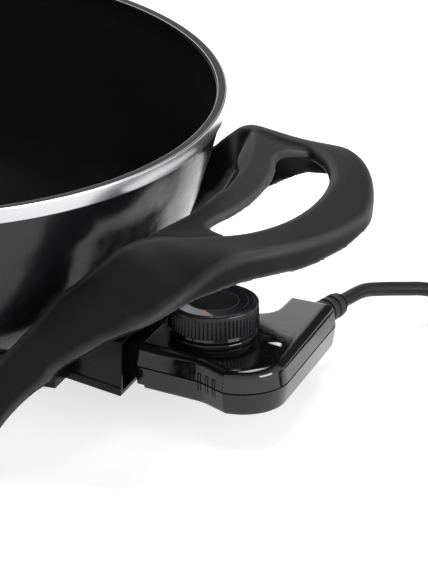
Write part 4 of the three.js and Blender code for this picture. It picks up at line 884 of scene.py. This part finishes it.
def case_cutters(upper):
    neck = [(0, -10), (GLAND_NECK, -10), (GLAND_NECK, 10), (0, 10)]
    tools = [
        block("mouth", (131.4, -18.8, 18.3), (140.7, 18.8, 36.9)),
        turned("neck", neck, 32, GLAND, turn=GLAND_TURN),
        *vents(upper),
    ]
    if upper:
        hole = [(0, 36), (SHAFT_BORE, 36), (SHAFT_BORE, 42), (0, 42)]
        return tools + [turned("shaft_hole", hole, 24, DIAL), window()]
    tools.append(block("notch", (131.4, -27, 14), (138.9, 27, 18.1)))
    recess = [
        (0, RECESS_FLOOR), (RECESS_RADIUS, RECESS_FLOOR), (RECESS_RADIUS, RECESS_ROOF), (0, RECESS_ROOF),
    ]
    return tools + [turned("recess", recess, 32, (x, y, 0)) for x, y in SCREWS_IN_CASE]


def case():
    split = CASE_SPLIT + GAP / 2
    foot = CASE_TOP - CASE_ROUND
    outside = [(split, PARTING_BEVEL), (split + PARTING_BEVEL, 0), (foot, CASE_DRAFT)]
    for i in range(1, ROUND_STEPS + 1):
        angle = math.pi / 2 * i / ROUND_STEPS
        inset = CASE_DRAFT + CASE_ROUND * (1 - math.cos(angle))
        outside.append((foot + CASE_ROUND * math.sin(angle), inset))
    lining = CASE_WALL + CASE_DRAFT
    inside = [(split, CASE_WALL), (foot, lining), (CASE_TOP - CASE_WALL, lining + 2.2)]
    top = case_shell("case_top", outside, inside)
    carved(top, case_cutters(True), angle=28)
    placed(top, "thermostat", "gloss_black", gloss_black, "thermostat_top")

    split = CASE_SPLIT - GAP / 2
    outside = [(split, PARTING_BEVEL), (split - PARTING_BEVEL, 0)]
    for height, inset in ((1.8, 1.5), (1.2, 1.64), (0.6, 2.1), (0.2, 2.7), (0, 3.3)):
        outside.append((CASE_FLOOR + height, inset))
    inside = [(split, CASE_WALL), (CASE_FLOOR + CASE_WALL, lining + 1.5)]
    bottom = case_shell("case_bottom", outside, inside)
    carved(bottom, case_cutters(False), angle=28)
    placed(bottom, "thermostat", "gloss_black", gloss_black, "thermostat_bottom")


def case_pillars():
    """Tubes that carry the case's screws, from the floor to just under the parting line."""
    foot = CASE_FLOOR + 0.5
    shelf = CASE_FLOOR + 3
    head = CASE_SPLIT - 0.4
    profile = [
        (RECESS_RADIUS, foot), (RECESS_RADIUS + 1, foot), (RECESS_RADIUS + 1, head), (2.3, head),
        (2.3, shelf), (RECESS_RADIUS, shelf), (RECESS_RADIUS, foot),
    ]
    for number, (x, y) in enumerate(SCREWS_IN_CASE, 1):
        pillar = turned(f"case_pillar_{number}", profile, 32, (x, y, 0))
        placed(pillar, "thermostat", "gloss_black", nose_black)


case()
case_pillars()


# Dial: a ribbed knob with its scale let into the top, over a fixed collar

RIDGES = 66
RIDGE_DEPTH = 0.42
RIDGE_POINTS = 6
RIDGE_BLUNTNESS = 0.6
HUB_RADIUS = 12.4
LIP = 1.8
RECESS = 0.9
KNOB_CEILING = 53.3
KNOB_MOUTH = 20.6
KNOB_ROUND = 1.3
RIDGE_DROP = 3.4


def knob_ring(radius, height, depth):
    """A ring of the knob, with its ridges cut to a depth."""
    count = RIDGES * RIDGE_POINTS
    ring = []
    for i in range(count):
        phase = (i % RIDGE_POINTS) / RIDGE_POINTS
        reach = radius - depth * (1 - math.sin(math.pi * phase) ** RIDGE_BLUNTNESS)
        ring.append(DIAL + polar(reach, 2 * math.pi * i / count, height))
    return ring


def knob():
    rib_top = DIAL_TOP - RIDGE_DROP
    floor = DIAL_TOP - RECESS
    shoulder = DIAL_TOP - KNOB_ROUND
    levels = [
        (0, KNOB_CEILING, 0), (SHAFT_BORE, KNOB_CEILING, 0), (SHAFT_BORE, DIAL_SKIRT, 0),
        (KNOB_MOUTH, DIAL_SKIRT, 0),
        (DIAL_RADIUS - 0.3, DIAL_SKIRT, RIDGE_DEPTH), (DIAL_RADIUS, DIAL_SKIRT + 0.4, RIDGE_DEPTH),
        (DIAL_RADIUS, rib_top, RIDGE_DEPTH), (DIAL_RADIUS, rib_top + 0.4, RIDGE_DEPTH * 0.3),
        (DIAL_RADIUS, rib_top + 0.6, 0), (DIAL_RADIUS, shoulder, 0),
    ]
    for i in range(1, 7):
        angle = math.pi / 2 * i / 6
        reach = DIAL_RADIUS - KNOB_ROUND * (1 - math.cos(angle))
        levels.append((reach, shoulder + KNOB_ROUND * math.sin(angle), 0))
    edge = DIAL_RADIUS - LIP
    levels += [
        (edge + 0.2, DIAL_TOP, 0), (edge, DIAL_TOP - 0.2, 0), (edge, floor, 0), (HUB_RADIUS, floor, 0),
        (HUB_RADIUS, DIAL_TOP - 0.5, 0), (HUB_RADIUS - 0.2, DIAL_TOP - RECESS / 3, 0),
        (0, DIAL_TOP - RECESS / 3, 0),
    ]
    body = stack("knob", [knob_ring(*level) for level in levels], 32, closed=False)
    placed(body, "dial", "gloss_black", knob_black, "dial_knob")


PRINT_HEIGHT = DIAL_TOP - RECESS + GAP + 0.3
PRINT_SUNK = 0.02
PRINT_THICK = 0.05
PRINT_INNER, PRINT_OUTER = 12.9, 19.4
SECTOR_STEPS = 48
NUMBER_RADIUS = 16.1
NUMBER_START, NUMBER_PITCH = -94, -17
NUMBER_SIZE = 4.2
NUMBER_THICK = 0.02
HUB_PLATE = 11.9


def sector(name, inner, outer, start, end, material, lean=0):
    """Print between two radii and two angles in degrees, whose end leans on by an angle outwards."""
    plan = []
    for k in range(SECTOR_STEPS + 1):
        angle = math.radians(start + (end + lean - start) * k / SECTOR_STEPS)
        plan.append((DIAL + polar(outer, angle)).xy)
    for k in range(SECTOR_STEPS, -1, -1):
        angle = math.radians(start + (end - start) * k / SECTOR_STEPS)
        plan.append((DIAL + polar(inner, angle)).xy)
    low = PRINT_HEIGHT - PRINT_SUNK
    placed(prism(name, plan, low, low + PRINT_THICK), "dial", "label", material)


def ring_on_dial(name, inner, outer, low, high, material, *nodes):
    profile = [(inner, low), (outer, low), (outer, high), (inner, high), (inner, low)]
    placed(turned(name, profile, 96, DIAL), "dial", "label", material, *nodes)


def dial_hub():
    low = DIAL_TOP - 0.28
    high = DIAL_TOP - 0.1
    profile = [(0, low), (HUB_PLATE, low), (HUB_PLATE, DIAL_TOP - 0.2), (HUB_PLATE - 0.3, high), (0, high)]
    placed(turned("dial_hub", profile, 96, DIAL), "dial", "gloss_black", hub_black)


def dial_number(number):
    """One of the scale's numbers, standing on the label with its foot to the middle."""
    angle = math.radians(NUMBER_START + NUMBER_PITCH * (number - 1))
    data = bpy.data.curves.new(f"dial_number_{number}", "FONT")
    data.body = str(number)
    data.size = NUMBER_SIZE * MM
    data.extrude = NUMBER_THICK * MM
    data.align_x = "CENTER"
    data.align_y = "CENTER"
    text = link(bpy.data.objects.new(f"dial_number_{number}", data))
    place = DIAL + polar(NUMBER_RADIUS, angle, PRINT_HEIGHT + PRINT_THICK)
    text.data.transform(Matrix.Translation(place * MM) @ Matrix.Rotation(angle + math.pi / 2, 4, "Z"))
    placed(text, "dial", "label", print_dark)


def dial():
    knob()
    ring_on_dial(
        "dial_label", HUB_RADIUS + GAP, DIAL_RADIUS - LIP - GAP, PRINT_HEIGHT - 0.3, PRINT_HEIGHT,
        label_ink, "dial_scale")
    # Painted highlight: a pale ring on the hub's rim edge.
    ring_on_dial(
        "dial_hub_rim_painted_highlight", HUB_RADIUS - 0.35, HUB_RADIUS - 0.1, DIAL_TOP - 0.35, DIAL_TOP - 0.26, print_and_painted_highlight)
    ring_on_dial(
        "dial_edge_line", 19.35, 19.6, PRINT_HEIGHT - PRINT_SUNK, PRINT_HEIGHT + 0.03, print_and_painted_highlight)
    sector("dial_band", PRINT_INNER, PRINT_OUTER, -176, -92, print_blue)
    sector("dial_end", PRINT_INNER, PRINT_OUTER, -91.5, -88, print_pink, lean=19)
    dial_hub()
    sector("dial_arc", 16.6, 16.9, -10, 60, print_and_painted_highlight)
    for number in range(1, 6):
        dial_number(number)


dial()


def collar():
    floor = CASE_TOP + GAP
    top = DIAL_SKIRT - GAP
    profile = filleted([
        (SHAFT_BORE, floor), (21, floor, 0.2), (21, floor + 2, 0.7), (19.6, floor + 3, 0.3),
        (19.6, top, 0.3), (SHAFT_BORE, top), (SHAFT_BORE, floor),
    ], 5)
    foot = turned("dial_foot", profile, 96, DIAL)
    placed(foot, "thermostat", "gloss_black", gloss_black, "dial_collar")


collar()


# Gland: a ribbed, tapering sleeve round the lead

GLAND_LENGTH = 23
GLAND_SEAT = 1.2
GLAND_RADIUS = 6.4
GLAND_TAPER = 0.4
GLAND_RIBS = 4
GLAND_GROOVE = 1.1


def gland():
    pitch = (GLAND_LENGTH - GLAND_SEAT) / GLAND_RIBS
    profile = [
        (0, -5), (5.6, -5), (5.6, -3.9), (5, -3.9), (5, GLAND_SEAT), (GLAND_RADIUS - 0.2, GLAND_SEAT),
        (GLAND_RADIUS, GLAND_SEAT + 0.3),
    ]
    for i in range(GLAND_RIBS):
        radius = GLAND_RADIUS - GLAND_TAPER * i / GLAND_RIBS
        start = GLAND_SEAT + i * pitch
        valley = radius - GLAND_GROOVE
        profile += [
            (radius, start + pitch * 0.5), (radius - 0.2, start + pitch * 0.57),
            (valley, start + pitch * 0.66), (valley, start + pitch * 0.9),
        ]
        if i < GLAND_RIBS - 1:
            profile += [(radius - 0.2, start + pitch * 0.97), (radius - 0.1, start + pitch * 1.03)]
    profile += [
        (5.6, GLAND_LENGTH - 0.6), (5.3, GLAND_LENGTH - 0.15), (4.9, GLAND_LENGTH), (0, GLAND_LENGTH),
    ]
    sleeve = turned("gland", profile, 48, GLAND, 50, GLAND_TURN)
    placed(sleeve, "thermostat", "rubber", rubber, "cord_gland")


gland()


# Screws: domed heads with a cross recess, and threaded shanks, where the CAD screws are

SCREW_HEAD = [(0, 0), (1.6, 0), (2.6, 0.25), (3.3, 0.75), (3.8, 1.5), (3.8, 2.4), (1.9, 2.4)]
THREAD_START = 2.9
THREAD_PITCH = 0.75
THREAD_VALLEY, THREAD_CREST = 1.7, 2.0
CROSS_REACH, CROSS_HALF, CROSS_DEPTH = 2, 0.45, 1.3


def screw(name, body):
    low, high = (Vector(corner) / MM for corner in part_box(name))
    place = Vector(((low.x + high.x) / 2, (low.y + high.y) / 2, low.z))
    length = high.z - low.z
    profile = list(SCREW_HEAD)
    height = THREAD_START
    while height < length - 1.2:
        profile += [(THREAD_VALLEY, height), (THREAD_CREST, height + 0.3)]
        height += THREAD_PITCH
    profile += [(1.2, length - 0.3), (0, length)]
    shape = turned(f"{name}_fine", profile, 24, place)
    arms = []
    for x, y in ((CROSS_REACH, CROSS_HALF), (CROSS_HALF, CROSS_REACH)):
        arm = block("arm", (-x, -y, -1), (x, y, CROSS_DEPTH))
        arm.data.transform(Matrix.Translation(place * MM))
        arms.append(arm)
    carved(shape, arms)
    placed(shape, body, "steel", steel, name)


for number in range(1, 5):
    screw(f"leg_screw_{number}", "wok")
    screw(f"pan_screw_{number}", "wok")
for number in (1, 2):
    screw(f"socket_screw_{number}", "wok")
for number in (1, 2, 3):
    screw(f"case_screw_{number}", "thermostat")
screw("element_plate_screw", "wok")


# Heating element: a bent tube under the pan

ELEMENT_RADIUS = 58
ELEMENT_TUBE = 4
ELEMENT_MOUTH = 14
ELEMENT_POINTS = 20
TERMINAL_HEIGHT = 27.6


def element():
    """A ring that stays open towards the socket, with both ends bent down to the terminals."""
    height = PAN_FLOOR - GAP * 2.5 - ELEMENT_TUBE
    ends = [
        Vector((83.7, 12, TERMINAL_HEIGHT)), Vector((75.7, 12, TERMINAL_HEIGHT)),
        Vector((64, 14.4, (height + TERMINAL_HEIGHT) / 2)),
    ]
    points = list(ends)
    for i in range(ELEMENT_POINTS + 1):
        angle = math.radians(ELEMENT_MOUTH + (360 - 2 * ELEMENT_MOUTH) * i / ELEMENT_POINTS)
        points.append(polar(ELEMENT_RADIUS, angle, height))
    points += [flipped(p) for p in reversed(ends)]
    bent = tube("element_tube", catmull(points, 5), ELEMENT_TUBE, 5)
    placed(bent, "wok", "steel", element_metal, "heating_element")


element()


# Plug: a turned body that lies on its waist and on the back edge of its face

PLUG = Vector((308, 85.3, 5.807))
PLUG_TURN = (
    Matrix.Rotation(math.radians(-95), 3, "Z") @ Matrix.Rotation(math.radians(-15.57), 3, "Y"))
EARTH_SLOT_BACK, EARTH_SLOT_FRONT = 48.8, 60
EARTH_SLOT_HALF = 4.3
EARTH_SLOT_FLOOR, EARTH_SLOT_TOP = 16.4, 20.8


def plug():
    profile = filleted([
        (0, 0), (3.8, 0, 0.4), (5, 8, 6), (6.2, 16, 3), (11, 18.4, 1.2), (11, 30, 4), (15.6, 39.2, 5),
        (17.6, 44, 1.5), (18.8, 46.4, 1), (18.8, 56.8, 1), (17.6, 58, 0.8), (0, 58),
    ], 5)
    body = turned("plug_shell", profile, 64, PLUG, 30, PLUG_TURN @ BAR_TURN)
    slots = []
    for low, high in ((-EARTH_SLOT_TOP, -EARTH_SLOT_FLOOR), (EARTH_SLOT_FLOOR, EARTH_SLOT_TOP)):
        slot = block(
            "slot", (EARTH_SLOT_BACK, -EARTH_SLOT_HALF, low), (EARTH_SLOT_FRONT, EARTH_SLOT_HALF, high))
        slot.data.transform(Matrix.Translation(PLUG * MM) @ PLUG_TURN.to_4x4())
        slots.append(slot)
    carved(body, slots, angle=30)
    return placed(body, "thermostat", "rubber", rubber, "plug_body")


plug_shell = plug()


# CAD pieces that keep their shape get rounded shading and a fine edge

def rounded_shading():
    """A node group that welds a CAD mesh and shades it smooth up to a given edge angle."""
    group = bpy.data.node_groups.new("rounded_shading", "GeometryNodeTree")
    group.interface.new_socket("Geometry", in_out="INPUT", socket_type="NodeSocketGeometry")
    angle = group.interface.new_socket("Angle", in_out="INPUT", socket_type="NodeSocketFloat")
    angle.default_value = math.radians(35)
    group.interface.new_socket("Geometry", in_out="OUTPUT", socket_type="NodeSocketGeometry")
    nodes = group.nodes
    start = nodes.new("NodeGroupInput")
    end = nodes.new("NodeGroupOutput")
    merge = nodes.new("GeometryNodeMergeByDistance")
    merge.inputs["Distance"].default_value = WELD
    edge = nodes.new("GeometryNodeInputMeshEdgeAngle")
    sharp = nodes.new("FunctionNodeCompare")
    sharp.operation = "GREATER_THAN"
    normal = nodes.new("GeometryNodeSetMeshNormal")
    normal.mode = "SHARPNESS"
    normal.inputs["Remove Custom"].default_value = True
    normal.inputs["Face Sharpness"].default_value = False
    join = group.links.new
    join(start.outputs["Geometry"], merge.inputs["Geometry"])
    join(merge.outputs["Geometry"], normal.inputs["Mesh"])
    join(edge.outputs["Unsigned Angle"], sharp.inputs["A"])
    join(start.outputs["Angle"], sharp.inputs["B"])
    join(sharp.outputs["Result"], normal.inputs["Edge Sharpness"])
    join(normal.outputs["Mesh"], end.inputs["Geometry"])
    return group


shading_group = rounded_shading()


def dressed(name, material, angle, edge):
    """Gives a CAD node its material, its shading and, unless edge is 0, rounded edges.

    Edge is in metres and far wider than the parts, so a rounding is as wide as its neighbours allow.
    """
    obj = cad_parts[name]
    painted(obj, material)
    if edge:
        weld = obj.modifiers.new("weld", "WELD")
        weld.merge_threshold = WELD
        bevel = obj.modifiers.new("edge", "BEVEL")
        bevel.width = edge
        bevel.segments = 2
        bevel.limit_method = "ANGLE"
        bevel.angle_limit = math.radians(angle)
        bevel.use_clamp_overlap = True
    shading = obj.modifiers.new("shading", "NODES")
    shading.node_group = shading_group
    shading[shading_group.interface.items_tree["Angle"].identifier] = math.radians(angle)


for names, material, angle, edge in (
    ("leg_strap_right leg_strap_left", steel, 30, 0.4),
    ("foot_pad_1 foot_pad_2 foot_pad_3 foot_pad_4", rubber, 30, 0.8),
    ("terminal_pin_1 terminal_pin_2 plug_pin_1 plug_pin_2 probe_rod dial_shaft", steel, 40, 0),
    ("contact_sleeve_1 contact_sleeve_2", brass, 40, 0),
    ("plug_earth_1 plug_earth_2", brass, 30, 0.2),
    ("element_plate", steel, 30, 0.2),
    ("probe_guide", enamel, 30, 0.4),
    ("socket_shroud", socket_black, 30, 0.5),
    ("terminal_block", ceramic, 30, 0.5),
    ("thermostat_switch thermostat_nose", nose_black, 30, 0.5),
    ("pilot_lamp", lens_pale, 40, 0),
    ("pilot_lens", lens_pale, 30, 0.15),
    ("coil_tie", rubber, 30, 0.3),
):
    for name in names.split():
        dressed(name, material, angle, edge)


# Floor and light

FLOOR_REACH = 60000
FLOOR_GLOW = 0.66
SKY_HEIGHTS, SKY_STRENGTHS = (0.45, 0.85), (1.15, 0.12)
SCREEN_WAY = (0.2985, 0.9187, 0.2588)
SCREEN_EDGE, SCREEN_SHADE = (0.829, 0.927), (1, 0.08)


def stage():
    """A pale floor that glows a little, so that it stays near white in the part's shade."""
    white = finish("floor_white", (0.55, 0.55, 0.55), 0.9, specular=0.0)
    mottled = blend_colours(white, noise(white, 3, 2), (0.55, 0.55, 0.55), (0.56, 0.56, 0.56))
    into(white, mottled, "Base Color")
    shader = white.node_tree.nodes["Principled BSDF"]
    shader.inputs["Emission Color"].default_value = (1, 1, 1, 1)
    shader.inputs["Emission Strength"].default_value = FLOOR_GLOW
    corners = [(x * FLOOR_REACH, y * FLOOR_REACH, 0) for x, y in ((-1, -1), (1, -1), (1, 1), (-1, 1))]
    floor = mesh_object("floor", corners, [(0, 1, 2, 3)])
    painted(floor, white)


def sky():
    """White light that fades overhead, with a dark screen on one side for the gloss to show."""
    world = bpy.data.worlds.new("studio")
    bpy.context.scene.world = world
    world.use_nodes = True
    tree = world.node_tree
    background = tree.nodes["Background"]
    background.inputs["Color"].default_value = (1, 1, 1, 1)
    way = tree.nodes.new("ShaderNodeTexCoord").outputs["Generated"]
    split = tree.nodes.new("ShaderNodeSeparateXYZ")
    tree.links.new(way, split.inputs["Vector"])
    screen = tree.nodes.new("ShaderNodeVectorMath")
    screen.operation = "DOT_PRODUCT"
    screen.inputs[1].default_value = SCREEN_WAY
    tree.links.new(way, screen.inputs[0])
    strength = tree.nodes.new("ShaderNodeMath")
    strength.operation = "MULTIPLY"
    fade = mapped(tree, split.outputs["Z"], SKY_HEIGHTS, SKY_STRENGTHS)
    shade_of_screen = mapped(tree, screen.outputs["Value"], SCREEN_EDGE, SCREEN_SHADE)
    tree.links.new(fade, strength.inputs[0])
    tree.links.new(shade_of_screen, strength.inputs[1])
    tree.links.new(strength.outputs["Value"], background.inputs["Strength"])


stage()
sky()


def softbox(name, place, target, size, power):
    """A rectangular lamp in metres and watts, which the camera doesn't see."""
    data = bpy.data.lights.new(name, "AREA")
    data.shape = "RECTANGLE"
    data.size = size[0]
    data.size_y = size[1]
    data.energy = power
    lamp = link(bpy.data.objects.new(name, data))
    lamp.location = place
    lamp.rotation_euler = (Vector(place) - Vector(target)).to_track_quat("Z", "Y").to_euler()
    lamp.visible_camera = False


softbox("top", (0.15, 0.6, 2.05), (0.15, 0.1, 0.05), (1.0, 1.5), 46)
softbox("side", (2.1, -0.4, 0.4), (0.15, 0, 0.05), (1.2, 0.6), 35)
